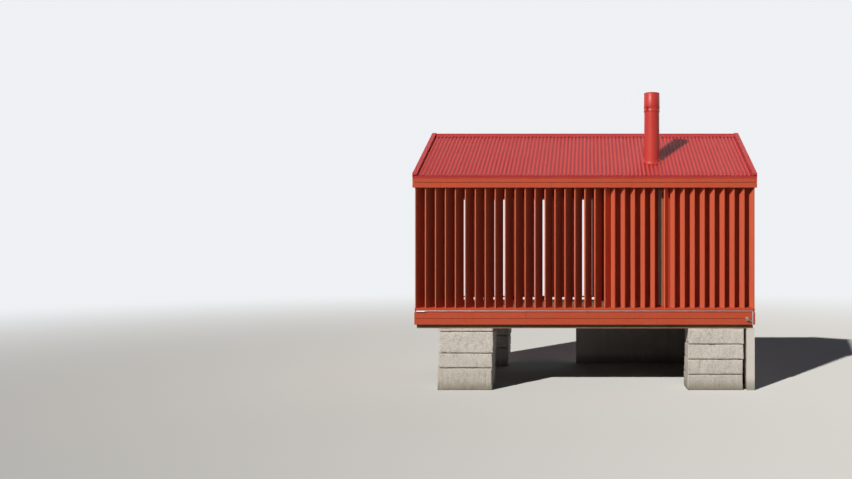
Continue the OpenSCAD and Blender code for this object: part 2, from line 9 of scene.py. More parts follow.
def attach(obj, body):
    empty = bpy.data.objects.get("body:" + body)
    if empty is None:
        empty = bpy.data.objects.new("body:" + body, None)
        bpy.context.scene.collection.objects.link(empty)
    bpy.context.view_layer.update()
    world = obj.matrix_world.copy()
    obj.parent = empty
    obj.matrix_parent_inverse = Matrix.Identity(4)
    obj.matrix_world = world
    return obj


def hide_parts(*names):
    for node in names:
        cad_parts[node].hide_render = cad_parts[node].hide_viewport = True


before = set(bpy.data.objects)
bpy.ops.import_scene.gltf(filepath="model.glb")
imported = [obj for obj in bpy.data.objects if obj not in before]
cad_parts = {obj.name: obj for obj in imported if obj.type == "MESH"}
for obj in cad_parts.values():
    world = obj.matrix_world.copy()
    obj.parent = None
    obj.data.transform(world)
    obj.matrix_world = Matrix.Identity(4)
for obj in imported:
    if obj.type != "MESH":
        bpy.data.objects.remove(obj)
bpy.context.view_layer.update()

# Slatted boathouse on granite piers. X runs to the landward end, Y from front to back, Z up.
# Lengths are in metres, angles in degrees.

building = {
    "endFace": 3.209,  # outer face of the end walls
    "slatFace": 1.960,  # outer face of the long slat rows
    "liningFace": 1.74994,
    "frameFace": 1.72794,  # rear of the lining and outer face of the posts
    "endLiningFace": 3.06479,
    "endFrameFace": 3.04279,
    "gableThick": 0.045,
    "roomStart": 0.470,
    "deckBase": 1.450,
    "deckTop": 1.478,
    "sillTop": 1.560,
    "seatRise": 0.014,  # how far the long sills' seat rises from the slat edges to the lining
    "slatTop": 3.850,
    "ledgeTop": 3.890,
    "fasciaEnd": 3.244,
    "halfEave": 2.000,
}
roof = {
    "pitch": 27.3,
    "ridgeTop": 5.10094,  # top of the sheet's crests on the ridge line
    "sheetDepth": 0.020,
    "wave": 0.076,
    "edge": 2.010,  # lower end of the sheet, from the ridge line
    "battenThick": 0.025,
}
pitchAngle = math.radians(roof["pitch"])
random.seed(11)


def sheetTop(y):
    return roof["ridgeTop"] - math.tan(pitchAngle) * abs(y)


# Upright depth of what is measured square to the roof
def plumb(depth):
    return depth / math.cos(pitchAngle)


def rafterTop(y):
    return sheetTop(y) - plumb(roof["sheetDepth"] + roof["battenThick"])


# Short calls for adding nodes and links
class nodeTree:
    def __init__(self, tree):
        self.tree = tree
        self.place = 0

    def add(self, kind, inputs=(), **settings):
        node = self.tree.nodes.new(kind)
        self.place += 1
        node.location = (180 * (self.place % 12), -260 * (self.place // 12))
        for key, value in settings.items():
            setattr(node, key, value)
        self.feed(node, dict(inputs))
        return node

    def feed(self, node, inputs):
        for key, value in inputs.items():
            if isinstance(value, bpy.types.NodeSocket):
                self.tree.links.new(value, node.inputs[key])
            else:
                node.inputs[key].default_value = value

    def math(self, operation, a, b=0.0):
        return self.add("ShaderNodeMath", {0: a, 1: b}, operation=operation).outputs[0]

    def times(self, a, b):
        return self.math("MULTIPLY", a, b)

    # The base and a share of the value
    def plus(self, base, value, share):
        return self.math("ADD", base, self.times(value, share))

    def stretch(self, vector, scale):
        return self.add("ShaderNodeVectorMath", {0: vector, 1: scale}, operation="MULTIPLY").outputs[0]

    def noise(self, vector, scale, detail=3.0, roughness=0.5):
        inputs = {"Vector": vector, "Scale": scale, "Detail": detail, "Roughness": roughness}
        return self.add("ShaderNodeTexNoise", inputs).outputs[0]

    def ramp(self, value, low, high):
        inputs = {0: value, 1: low, 2: high}
        return self.add("ShaderNodeMapRange", inputs, interpolation_type="SMOOTHSTEP").outputs[0]

    def mix(self, factor, a, b):
        return self.add("ShaderNodeMix", {0: factor, 6: a, 7: b}, data_type="RGBA").outputs[2]

    # One colour after another over the body, each as a mask, the mask's share and the colour
    def coats(self, body, *layers):
        for mask, share, tint in layers:
            body = self.mix(self.times(mask, share), body, tint)
        return body

    def attribute(self, name):
        return self.add("ShaderNodeAttribute", attribute_name=name).outputs["Fac"]

    def axis(self, vector, index):
        return self.add("ShaderNodeSeparateXYZ", {0: vector}).outputs[index]

    def group(self, tree, inputs):
        return self.add("ShaderNodeGroup", inputs, node_tree=tree).outputs


def colour(red, green, blue):
    return (red, green, blue, 1.0)


def clearedNodes(owner):
    owner.use_nodes = True
    owner.node_tree.nodes.clear()
    return nodeTree(owner.node_tree)


# A node group with the default values of its inputs, where three numbers make a vector
def newGroup(name, inputs, outputs):
    tree = bpy.data.node_groups.new(name, "ShaderNodeTree")
    for socketName, value in inputs.items():
        kind = "NodeSocketVector" if isinstance(value, tuple) else "NodeSocketFloat"
        tree.interface.new_socket(socketName, in_out="INPUT", socket_type=kind).default_value = value
    for socketName in outputs:
        tree.interface.new_socket(socketName, in_out="OUTPUT", socket_type="NodeSocketFloat")
    start = tree.nodes.new("NodeGroupInput").outputs
    end = tree.nodes.new("NodeGroupOutput")
    return tree, nodeTree(tree), start, end


# Long fibres along one direction: Stretch is large across the board and small along it
def woodGrainGroup():
    inputs = {"Place": (0.0, 0.0, 0.0), "Stretch": (40.0, 40.0, 2.0), "Board": 0.0}
    tree, n, start, end = newGroup("wood grain", inputs, ("Fibres", "Rings", "Height"))
    shift = n.times(start["Board"], 37.0)
    stretched = n.stretch(start["Place"], start["Stretch"])
    place = n.add("ShaderNodeVectorMath", {0: stretched, 1: shift}, operation="ADD").outputs[0]
    fibres = n.noise(place, 3.2, 4.0, 0.62)
    wide = n.noise(place, 0.55, 2.0, 0.5)
    rings = n.ramp(n.math("SINE", n.times(n.plus(wide, fibres, 0.12), 58.0)), -0.6, 1.0)
    height = n.plus(n.times(fibres, 0.7), rings, 0.3)
    n.feed(end, {"Fibres": fibres, "Rings": rings, "Height": height})
    return tree


# Dust and rain marks: cloudy patches, streaks that run down, and a splash zone over a given height
def weatherGroup():
    inputs = {"Place": (0.0, 0.0, 0.0), "Splash Height": 1.5, "Splash Reach": 0.3}
    tree, n, start, end = newGroup("weather marks", inputs, ("Patches", "Streaks", "Splash"))
    patches = n.ramp(n.noise(start["Place"], 1.7, 4.0, 0.55), 0.38, 0.68)
    thin = n.stretch(start["Place"], (23.0, 23.0, 0.9))
    streaks = n.ramp(n.noise(thin, 1.0, 3.0, 0.55), 0.5, 0.78)
    height = n.math("SUBTRACT", n.axis(start["Place"], 2), start["Splash Height"])
    over = n.math("DIVIDE", height, start["Splash Reach"])
    ragged = n.plus(over, n.noise(thin, 2.2), 0.7)
    splash = n.math("SUBTRACT", 1.0, n.ramp(ragged, 0.2, 1.3))
    n.feed(end, {"Patches": patches, "Streaks": streaks, "Splash": splash})
    return tree


# Mineral grains of granite and concrete: dark flecks, pale flecks and slow clouds
def speckleGroup():
    inputs = {"Place": (0.0, 0.0, 0.0), "Grain Size": 0.012}
    tree, n, start, end = newGroup("stone speckle", inputs, ("Dark", "Pale", "Clouds", "Height"))
    scale = n.math("DIVIDE", 1.0, start["Grain Size"])
    cells = n.add("ShaderNodeTexVoronoi", {"Vector": start["Place"], "Scale": scale}).outputs
    clouds = n.noise(start["Place"], 2.6, 5.0, 0.6)
    height = n.plus(n.noise(start["Place"], 34.0, 5.0, 0.65), cells[0], 0.25)
    dark = n.ramp(n.axis(cells["Color"], 0), 0.78, 0.84)
    pale = n.ramp(n.axis(cells["Color"], 1), 0.72, 0.8)
    n.feed(end, {"Dark": dark, "Pale": pale, "Clouds": clouds, "Height": height})
    return tree


woodGrain = woodGrainGroup()
weatherMarks = weatherGroup()
stoneSpeckle = speckleGroup()


def newMaterial(name):
    material = bpy.data.materials.new(name)
    n = clearedNodes(material)
    shader = n.add("ShaderNodeBsdfPrincipled")
    n.add("ShaderNodeOutputMaterial", {0: shader.outputs[0]})
    place = n.add("ShaderNodeTexCoord").outputs["Object"]
    return material, n, shader, place


# Colour, roughness and sheen of the surface, and bumps of the given height, strength and depth
def setSurface(n, shader, body, roughness, sheen, height, strength, depth):
    relief = n.add("ShaderNodeBump", {"Height": height, "Strength": strength, "Distance": depth})
    n.feed(shader, {
        "Base Color": body,
        "Roughness": roughness,
        "Specular IOR Level": sheen,
        "Normal": relief.outputs[0],
    })


def weathering(n, place, splashHeight=0.0, splashReach=0.1):
    inputs = {"Place": place, "Splash Height": splashHeight, "Splash Reach": splashReach}
    return n.group(weatherMarks, inputs)


# Stretch of the grain for a board that runs along each axis
acrossGrain = {"X": (1.6, 34.0, 34.0), "Y": (34.0, 1.6, 34.0), "Z": (34.0, 34.0, 1.6)}

paint = {
    "slats": colour(0.680, 0.118, 0.052),
    "boards": colour(0.505, 0.066, 0.026),
    "frame": colour(0.470, 0.070, 0.032),
    # painted shade: the same red paint made darker, since the lining stands in shade behind the slats
    "lining": colour(0.400, 0.062, 0.028),
    "faded": colour(0.660, 0.145, 0.075),
    "grime": colour(0.165, 0.040, 0.026),
    "bareEdge": colour(0.420, 0.130, 0.080),
    "dust": colour(0.520, 0.290, 0.200),
    "tone": 0.10,  # how much the boards and their fibres differ
    "rings": 0.06,
    "streaks": 0.16,
    "patches": 0.07,
    "splash": 0.20,
    "roughness": (0.58, 0.22),  # lowest, and what the fibres add
    "sheen": 0.14,
    "bumps": (0.25, 0.0010),  # strength and depth
}


# Opaque red paint on planed boards, with the grain showing through it
def paintedWood(name, base, along, wear=0.3, splashHeight=1.2, splashReach=0.5):
    material, n, shader, place = newMaterial(name)
    board = n.attribute("board")
    grain = n.group(woodGrain, {"Place": place, "Stretch": acrossGrain[along], "Board": board})
    marks = weathering(n, place, splashHeight, splashReach)
    tone = n.plus(n.times(board, 0.55), grain["Fibres"], 0.45)
    edges = n.times(n.attribute("worn"), n.ramp(grain["Fibres"], 0.42, 0.62))
    body = n.coats(base, (tone, paint["tone"], paint["faded"]),
                   (grain["Rings"], paint["rings"], paint["grime"]),
                   (marks["Streaks"], paint["streaks"], paint["grime"]),
                   (marks["Patches"], paint["patches"], paint["faded"]),
                   (marks["Splash"], paint["splash"] * wear, paint["dust"]),
                   (edges, wear, paint["bareEdge"]))
    low, rise = paint["roughness"]
    roughness = n.plus(low, grain["Fibres"], rise)
    setSurface(n, shader, body, roughness, paint["sheen"], grain["Height"], *paint["bumps"])
    return material


timber = {
    "pale": colour(0.360, 0.235, 0.130),
    "dark": colour(0.250, 0.150, 0.080),
    "rings": (0.45, colour(0.190, 0.105, 0.055)),  # share and colour, here and below
    "grey": (0.30, colour(0.300, 0.270, 0.230)),
    "roughness": (0.62, 0.25),
    "sheen": 0.25,
    "bumps": (0.5, 0.002),
}


def bareWood(name, along):
    material, n, shader, place = newMaterial(name)
    board = n.attribute("board")
    grain = n.group(woodGrain, {"Place": place, "Stretch": acrossGrain[along], "Board": board})
    marks = weathering(n, place)
    body = n.mix(grain["Fibres"], timber["pale"], timber["dark"])
    body = n.coats(body, (grain["Rings"], *timber["rings"]), (marks["Patches"], *timber["grey"]))
    low, rise = timber["roughness"]
    roughness = n.plus(low, grain["Fibres"], rise)
    setSurface(n, shader, body, roughness, timber["sheen"], grain["Height"], *timber["bumps"])
    return material


sheetPaint = {
    "faded": 0.22,  # share of the pale colour in the patches
    "sheetTone": 0.12,  # share of it by which single sheets differ
    "rain": (0.14, colour(0.300, 0.050, 0.050)),
    # painted shade: a darker colour laid into the bottoms of the waves
    "troughShade": (0.62, colour(0.200, 0.028, 0.030)),
    "fineRough": 0.10,  # what fine grain and patches add to the roughness
    "patchRough": 0.06,
    "bumps": (0.05, 0.0004),
}


# Bottoms of a corrugated sheet's waves, as a mask along X, where shade is painted in
def troughShadeMask(n, place, wave):
    turn = n.times(n.axis(place, 0), 2 * math.pi / wave)
    return n.ramp(n.math("COSINE", turn), 0.25, -0.85)


# Factory-painted steel: even colour, faint streaks down the slope and painted shade in the low parts of the
# waves
def paintedMetal(name, base, pale, roughness, sheen, wave=0.0):
    material, n, shader, place = newMaterial(name)
    marks = weathering(n, place)
    fine = n.noise(place, 60.0)
    body = n.coats(base, (marks["Patches"], sheetPaint["faded"], pale),
                   (n.attribute("board"), sheetPaint["sheetTone"], pale),
                   (marks["Streaks"], *sheetPaint["rain"]))
    # painted shade in the wave bottoms
    if wave:
        body = n.coats(body, (troughShadeMask(n, place, wave), *sheetPaint["troughShade"]))
    rough = n.plus(roughness, fine, sheetPaint["fineRough"])
    rough = n.plus(rough, marks["Patches"], sheetPaint["patchRough"])
    setSurface(n, shader, body, rough, sheen, fine, *sheetPaint["bumps"])
    return material


graniteLook = {
    "grain": 0.011,
    "clouds": (colour(0.540, 0.495, 0.445), colour(0.700, 0.650, 0.595)),
    "stones": (0.35, colour(0.640, 0.585, 0.500)),  # how single stones differ
    "hollows": (0.42, colour(0.330, 0.300, 0.270)),
    "darkGrains": (0.42, colour(0.210, 0.195, 0.185)),
    "paleGrains": (0.40, colour(0.800, 0.760, 0.720)),
    "streaks": (0.12, colour(0.300, 0.270, 0.230)),
    "foot": (0.45, colour(0.330, 0.300, 0.260)),
    "damp": (0.80, colour(0.230, 0.205, 0.135)),
    "footZone": (0.05, 0.75),  # height and reach of the zone
    "dampZone": (0.03, 0.20),
    "roughness": (0.90, -0.35),
    "sheen": 0.30,
    "bumps": (1.0, 0.010),
}


def graniteMaterial():
    material, n, shader, place = newMaterial("split granite")
    grains = n.group(stoneSpeckle, {"Place": place, "Grain Size": graniteLook["grain"]})
    marks = weathering(n, place, *graniteLook["dampZone"])
    foot = weathering(n, place, *graniteLook["footZone"])
    hollows = n.ramp(n.noise(n.stretch(place, (15.0, 15.0, 9.0)), 1.0, 4.0, 0.6), 0.50, 0.68)
    body = n.coats(n.mix(grains["Clouds"], *graniteLook["clouds"]),
                   (n.attribute("board"), *graniteLook["stones"]),
                   (hollows, *graniteLook["hollows"]),
                   (grains["Dark"], *graniteLook["darkGrains"]),
                   (grains["Pale"], *graniteLook["paleGrains"]),
                   (marks["Streaks"], *graniteLook["streaks"]),
                   (foot["Splash"], *graniteLook["foot"]),
                   (marks["Splash"], *graniteLook["damp"]))
    low, rise = graniteLook["roughness"]
    roughness = n.plus(low, marks["Splash"], rise)
    setSurface(n, shader, body, roughness, graniteLook["sheen"], grains["Height"], *graniteLook["bumps"])
    return material


concreteLook = {
    "grain": 0.006,
    "clouds": (colour(0.640, 0.605, 0.550), colour(0.780, 0.740, 0.680)),
    "forms": (0.25, colour(0.470, 0.440, 0.410)),  # how the marks of single form boards differ
    "darkGrains": (0.18, colour(0.220, 0.215, 0.205)),
    "streaks": (0.30, colour(0.640, 0.625, 0.600)),
    "damp": (0.70, colour(0.200, 0.190, 0.140)),
    "dampZone": (0.05, 0.25),
    "roughness": (0.78, 0.15),
    "sheen": 0.30,
    "bumps": (0.5, 0.0025),
}


def concreteMaterial():
    material, n, shader, place = newMaterial("board-marked concrete")
    grains = n.group(stoneSpeckle, {"Place": place, "Grain Size": concreteLook["grain"]})
    marks = weathering(n, place, *concreteLook["dampZone"])
    body = n.coats(n.mix(grains["Clouds"], *concreteLook["clouds"]),
                   (n.attribute("board"), *concreteLook["forms"]),
                   (grains["Dark"], *concreteLook["darkGrains"]),
                   (marks["Streaks"], *concreteLook["streaks"]),
                   (marks["Splash"], *concreteLook["damp"]))
    low, rise = concreteLook["roughness"]
    roughness = n.plus(low, grains["Clouds"], rise)
    setSurface(n, shader, body, roughness, concreteLook["sheen"], grains["Height"], *concreteLook["bumps"])
    return material


bareMetal = {
    "metallic": 0.75,
    "roughness": 0.26,
    "patchRough": 0.20,
    "fineRough": 0.06,
    "sheen": 0.5,
    "bumps": (0.08, 0.0004),
}


def plainMetal(name, dark, pale):
    material, n, shader, place = newMaterial(name)
    fine = n.noise(place, 140.0, 4.0)
    patches = n.noise(place, 9.0)
    rough = n.plus(bareMetal["roughness"], patches, bareMetal["patchRough"])
    rough = n.plus(rough, fine, bareMetal["fineRough"])
    body = n.mix(patches, dark, pale)
    setSurface(n, shader, body, rough, bareMetal["sheen"], fine, *bareMetal["bumps"])
    shader.inputs["Metallic"].default_value = bareMetal["metallic"]
    return material


glass = {
    "film": (colour(0.36, 0.27, 0.13), colour(0.26, 0.19, 0.09)),
    "filmRough": 0.09,
    "transmission": 0.35,
    "bending": 1.45,
    "sheen": 0.20,
}


# Glass with a brown film that dims what is behind it
def glassMaterial():
    material, n, shader, place = newMaterial("filmed window glass")
    film = n.noise(place, 11.0, 4.0)
    n.feed(shader, {
        "Base Color": n.mix(film, *glass["film"]),
        "Roughness": n.times(film, glass["filmRough"]),
        "Transmission Weight": glass["transmission"],
        "IOR": glass["bending"],
        "Specular IOR Level": glass["sheen"],
    })
    return material


finish = {
    "slats": paintedWood("red slat paint", paint["slats"], "Z", 0.35, 1.50, 0.30),
    "alongX": paintedWood("red board paint along X", paint["boards"], "X", 0.30, 1.18, 0.10),
    "alongY": paintedWood("red board paint along Y", paint["boards"], "Y", 0.30, 1.18, 0.10),
    "upright": paintedWood("red board paint upright", paint["boards"], "Z", 0.45, 1.45, 0.30),
    "frameX": paintedWood("red frame paint along X", paint["frame"], "X"),
    "frameY": paintedWood("red frame paint along Y", paint["frame"], "Y"),
    "framePost": paintedWood("red frame paint upright", paint["frame"], "Z"),
    # the lining paint is darkened as painted shade
    "lining": paintedWood("red lining paint with painted shade", paint["lining"], "Z", 0.3, 1.50, 0.40),
    "timberX": bareWood("bare timber along X", "X"),
    "timberY": bareWood("bare timber along Y", "Y"),
    "roofSheet": paintedMetal("red roof sheet", colour(0.540, 0.046, 0.044),
                              colour(0.590, 0.078, 0.072), 0.46, 0.10, roof["wave"]),
    "trim": paintedMetal("red roof trim", colour(0.450, 0.036, 0.036),
                         colour(0.500, 0.062, 0.056), 0.44, 0.12),
    "chimney": paintedMetal("red chimney paint", colour(0.500, 0.036, 0.026),
                            colour(0.530, 0.056, 0.044), 0.34, 0.30),
    "granite": graniteMaterial(),
    "concrete": concreteMaterial(),
    "steel": plainMetal("zinc-plated steel", colour(0.46, 0.44, 0.43), colour(0.62, 0.60, 0.59)),
    "tap": plainMetal("dull nickel-plated brass", colour(0.27, 0.28, 0.23), colour(0.42, 0.42, 0.37)),
    "glass": glassMaterial(),
}
print("materials ready")


def startMesh():
    mesh = bmesh.new()
    for name in ("board", "worn"):
        mesh.faces.layers.float.new(name)
    return mesh


# The board value shifts the tone and the grain of these faces
def markFaces(mesh, faces, board):
    layer = mesh.faces.layers.float["board"]
    for face in faces:
        face[layer] = board


# Faces between two closed rings of as many points
def joinRings(mesh, low, high):
    count = len(low)
    return [mesh.faces.new((low[i], low[(i + 1) % count], high[(i + 1) % count], high[i]))
            for i in range(count)]


# A straight prism: outline points (u, v), placed at the stations by the given function
def addPrism(mesh, outline, stations, place, board=None):
    board = random.random() if board is None else board
    rings = [[mesh.verts.new(place(u, v, w)) for u, v in outline] for w in stations]
    faces = [mesh.faces.new(rings[0]), mesh.faces.new(list(reversed(rings[-1])))]
    for low, high in zip(rings, rings[1:]):
        faces += joinRings(mesh, low, high)
    markFaces(mesh, faces, board)
    return faces


# A place for prisms whose outline is (y, z) and whose stations run along X
def lyingAlongX(u, v, w):
    return Vector((w, u, v))


# A board from one place to another along each axis, given in either order
def addBoard(mesh, x, y, z, board=None):
    (x0, x1), (y0, y1) = sorted(x), sorted(y)
    outline = [(x0, y0), (x1, y0), (x1, y1), (x0, y1)]
    return addPrism(mesh, outline, sorted(z), lambda u, v, w: Vector((u, v, w)), board)


def circlePoints(sides, radius=1.0):
    turns = [2 * math.pi * i / sides for i in range(sides)]
    return [(radius * math.cos(turn), radius * math.sin(turn)) for turn in turns]


# A short round stud on a surface, such as a screw head
def addStud(mesh, centre, normal, radius, height, sides=8, board=0.5):
    turn = Vector(normal).to_track_quat("Z", "Y").to_matrix()
    base = Vector(centre)
    addPrism(mesh, circlePoints(sides, radius), (0.0, height),
             lambda u, v, w: base + turn @ Vector((u, v, w)), board)


def softenEdges(mesh, width):
    bmesh.ops.recalc_face_normals(mesh, faces=mesh.faces)
    kept = set(mesh.faces)
    bmesh.ops.bevel(mesh, geom=list(mesh.edges), offset=width, segments=1, affect="EDGES", profile=0.5)
    worn = mesh.faces.layers.float["worn"]
    for face in mesh.faces:
        if face not in kept:
            face[worn] = 1.0


def addObject(name, data):
    item = bpy.data.objects.new(name, data)
    bpy.context.scene.collection.objects.link(item)
    return item


def addMeshObject(name, mesh):
    data = bpy.data.meshes.new(name)
    mesh.to_mesh(data)
    mesh.free()
    return addObject(name, data)


# The mesh as a piece that rides with the building and stands for the node, if one is named
def finishPiece(mesh, name, material, node=None):
    bmesh.ops.recalc_face_normals(mesh, faces=mesh.faces)
    piece = addMeshObject(name, mesh)
    piece.data.materials.append(material)
    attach(piece, "root")
    if node:
        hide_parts(node)
    return piece


# Smooth shading, except over edges sharper than the angle
def smoothPiece(piece, sharpAngle):
    piece.data.polygons.foreach_set("use_smooth", [True] * len(piece.data.polygons))
    piece.data.set_sharp_from_angle(angle=math.radians(sharpAngle))


# The piece's mesh less another closed mesh
def cutAway(piece, cutterMesh):
    bmesh.ops.recalc_face_normals(cutterMesh, faces=cutterMesh.faces)
    cutter = addMeshObject("cutter", cutterMesh)
    cut = piece.modifiers.new("cut", "BOOLEAN")
    cut.object = cutter
    cut.solver = "EXACT"
    bpy.context.view_layer.update()
    evaluated = piece.evaluated_get(bpy.context.evaluated_depsgraph_get())
    result = bpy.data.meshes.new_from_object(evaluated)
    piece.modifiers.clear()
    piece.data = result
    bpy.data.objects.remove(cutter)


slats = {
    "pitch": 0.188,
    "backPitch": 0.1865,  # of the open seaward slats of the back
    "thick": 0.026,
    "width": 0.143,
    "wide": 0.230,  # width of the open seaward slats of the long sides
    "seaward": 20,
    "landward": 15,
    "seawardTurn": 33.0,
    "landwardTurn": -24.0,
    "odd": 25,  # the front slat that is turned the other way, counted from 0
    "edge": 0.0025,
    "doorSide": 0.490,
}


def setBack(turn):
    return slats["thick"] / 2 * math.sin(math.radians(abs(turn)))


# Height of a long sill's seat, which rises from the slat edges to the lining
def seatHeight(y):
    share = (building["slatFace"] - abs(y)) / (building["slatFace"] - building["liningFace"])
    return building["sillTop"] + building["seatRise"] * share


# One slat whose outer edge has its middle at the place, turned about it and then as its wall
def addSlat(mesh, place, turn, width, wallTurn, onSeat=False):
    half = slats["thick"] / 2
    turned = wallTurn @ Matrix.Rotation(math.radians(-turn), 3, "Z")
    outline = [(-half, 0), (half, 0), (half, width), (-half, width)]

    def corner(u, v, w):
        point = Vector(place) + turned @ Vector((u, v, 0))
        foot = seatHeight(point.y) if onSeat else building["sillTop"]
        return Vector((point.x, point.y, max(w, foot)))
    addPrism(mesh, outline, (building["sillTop"], building["slatTop"]), corner)


def slatTurn(index, side):
    if index < slats["seaward"] or (side < 0 and index == slats["odd"]):
        return slats["seawardTurn"]
    return slats["landwardTurn"]


def longSlats(side, first, last, name):
    mesh = startMesh()
    middle = (slats["seaward"] + slats["landward"] - 1) / 2 * slats["pitch"]
    flip = Matrix.Scale(-side, 3, (0, 1, 0))
    for i in range(first, last):
        turn = slatTurn(i, side)
        seaward = i < slats["seaward"]
        pitch = slats["backPitch"] if seaward and side > 0 else slats["pitch"]
        width = slats["wide"] if seaward else slats["width"]
        place = (i * pitch - middle, side * (building["slatFace"] - setBack(turn)), 0)
        addSlat(mesh, place, turn, width, flip, True)
    softenEdges(mesh, slats["edge"])
    finishPiece(mesh, name + "_slat_boards", finish["slats"], name + "_slats")


# Slats of an end wall between two places along Y, spread evenly
def endSlatRow(mesh, low, high, turn, side, mirror=1):
    tail = slats["width"] * math.sin(math.radians(abs(turn)))
    lip = slats["thick"] / 2 * math.cos(math.radians(turn))
    free = high - low - tail - 2 * lip
    count = int(free / slats["pitch"]) + 1
    start = low + lip + (tail if turn > 0 else 0) + (free - (count - 1) * slats["pitch"]) / 2
    spin = Matrix.Rotation(math.radians(-90), 3, "Z")
    flip = Matrix.Scale(side, 3, (1, 0, 0)) @ Matrix.Scale(mirror, 3, (0, 1, 0))
    x = building["endFace"] - setBack(turn)
    for i in range(count):
        place = flip @ Vector((-x, start + i * slats["pitch"], 0))
        addSlat(mesh, place, turn, slats["width"], flip @ spin)


def finishEndSlats(mesh, name):
    softenEdges(mesh, slats["edge"])
    finishPiece(mesh, name + "_slat_boards", finish["slats"], name + "_slats")


def endSlats():
    reach = building["liningFace"]
    mesh = startMesh()
    endSlatRow(mesh, -reach, reach, slats["seawardTurn"], 1)
    finishEndSlats(mesh, "seaward_end")
    mesh = startMesh()
    for mirror in (1, -1):
        endSlatRow(mesh, -reach, -slats["doorSide"], slats["landwardTurn"], -1, mirror)
    finishEndSlats(mesh, "landward_end")


slatCount = slats["seaward"] + slats["landward"]
for side, sideName in ((-1, "front"), (1, "back")):
    longSlats(side, 0, slats["seaward"], sideName + "_seaward")
    longSlats(side, slats["seaward"], slatCount, sideName + "_landward")
endSlats()
print("slats ready")


fascia = {
    "thick": 0.028,
    "baseFace": 1.940,
    "endBaseFace": 3.221,
    "baseBoard": 0.113,  # height of one board
    "baseButts": ((1.36,), (-1.12,)),  # butt joints of the lower and of the upper boards
    "baseScrews": (0.22, 0.78),  # shares of a board's height
    "eaveBase": 3.831,
    "eaveBoard": 0.095,
    "eaveButts": ((-0.62,), (1.94,)),
    "eaveScrews": (0.25, 0.75),
    "joint": 0.006,  # open joint between the paired boards
    "backingEnd": 3.235,
    "flashing": 0.003,  # thickness of the metal strip on the backing board
    "flashingGap": 0.0006,
    "edge": 0.003,
    "buttGap": 0.0015,
    "tongue": 0.012,  # strip behind the open joint, along the rear of the boards
    "tongueGap": 0.0002,
    "tongueTone": 0.2,
    "screwStep": 0.62,
    "screwInset": 0.06,
    "screwRadius": 0.0045,
    "screwHeight": 0.0012,
    "screwSunk": 0.0004,
}
baseRear = fascia["baseFace"] - fascia["thick"]
endBaseRear = fascia["endBaseFace"] - fascia["thick"]


# Heights of two boards, one over the other with the open joint between them
def pairedHeights(base, board):
    return [(z, z + board) for z in (base, base + board + fascia["joint"])]


# Boards laid end to end along X, with butt joints at the given places
def boardRun(mesh, reach, butts, y, z):
    gap = fascia["buttGap"] / 2
    stops = [-reach, *butts, reach]
    for low, high in zip(stops, stops[1:]):
        x = (low + (gap if low != -reach else 0), high - (gap if high != reach else 0))
        addBoard(mesh, x, y, z)


def addTongue(mesh, x, y, jointTop):
    gap = fascia["tongueGap"]
    addBoard(mesh, x, y, (jointTop - fascia["joint"] + gap, jointTop - gap), fascia["tongueTone"])


# Screw heads along the boards of a long side, at shares of each board's height
def addScrews(mesh, reach, heights, shares, side, face):
    count = max(2, round(2 * reach / fascia["screwStep"]) + 1)
    run = reach - fascia["screwInset"]
    y = side * (face - fascia["screwSunk"])
    for i in range(count):
        for low, high in heights:
            for share in shares:
                place = (-run + 2 * run * i / (count - 1), y, low + share * (high - low))
                addStud(mesh, place, (0, side, 0), fascia["screwRadius"], fascia["screwHeight"])


def longBaseBoards(side, name, heights):
    mesh = startMesh()
    reach, jointTop = fascia["endBaseFace"], heights[1][0]
    for z, butts in zip(heights, fascia["baseButts"]):
        boardRun(mesh, reach, butts, (side * fascia["baseFace"], side * baseRear), z)
    addTongue(mesh, (-reach, reach), (side * baseRear, side * (baseRear + fascia["tongue"])), jointTop)
    softenEdges(mesh, fascia["edge"])
    addScrews(mesh, reach, heights, fascia["baseScrews"], side, fascia["baseFace"])
    finishPiece(mesh, name + "_base_board_run", finish["alongX"], name + "_base_boards")


def endBaseBoards(heights):
    mesh = startMesh()
    y, jointTop = (-baseRear, baseRear), heights[1][0]
    for side in (-1, 1):
        for z in heights:
            addBoard(mesh, (side * fascia["endBaseFace"], side * endBaseRear), y, z)
        addTongue(mesh, (side * endBaseRear, side * (endBaseRear + fascia["tongue"])), y, jointTop)
    softenEdges(mesh, fascia["edge"])
    finishPiece(mesh, "end_base_board_run", finish["alongY"], "end_base_boards")


def eaveBoards(side, name, heights):
    mesh = startMesh()
    reach, face = building["fasciaEnd"], building["halfEave"]
    backing = face - fascia["thick"]
    inner = backing - fascia["thick"]
    for z, butts in zip(heights, fascia["eaveButts"]):
        boardRun(mesh, reach, butts, (side * face, side * backing), z)
    seat = plumb(roof["sheetDepth"] + fascia["flashing"]) + fascia["flashingGap"]
    foot = building["ledgeTop"]
    outline = [(side * backing, foot), (side * backing, sheetTop(backing) - seat),
               (side * inner, sheetTop(inner) - seat), (side * inner, foot)]
    addPrism(mesh, outline, (-fascia["backingEnd"], fascia["backingEnd"]), lyingAlongX)
    softenEdges(mesh, fascia["edge"])
    addScrews(mesh, reach, heights, fascia["eaveScrews"], side, face)
    finishPiece(mesh, name + "_eave_board_run", finish["alongX"], name + "_eave_boards")


baseFoot = building["deckTop"] - 2 * fascia["baseBoard"] - fascia["joint"]
baseHeights = pairedHeights(baseFoot, fascia["baseBoard"])
longBaseBoards(-1, "front", baseHeights)
longBaseBoards(1, "back", baseHeights)
endBaseBoards(baseHeights)
eaveHeights = pairedHeights(fascia["eaveBase"], fascia["eaveBoard"])
eaveBoards(-1, "front", eaveHeights)
eaveBoards(1, "back", eaveHeights)
print("fascia boards ready")


lining = {
    "board": 0.118,
    "groove": 0.004,
    "edge": 0.004,
    "windowLeft": 1.362,
    "windowRight": 1.512,
    "windowBase": 1.580,
    "windowTop": 3.830,
}
deck = {
    "board": 0.120,
    "gap": 0.005,
    "butts": (-1.6, 0.8, 2.0, -0.4),  # butt joints of four boards in turn
    "buttGap": 0.002,
    "edge": 0.003,
}
gable = {"board": 0.142, "gap": 0.006, "halfWidth": 1.944, "edge": 0.003}


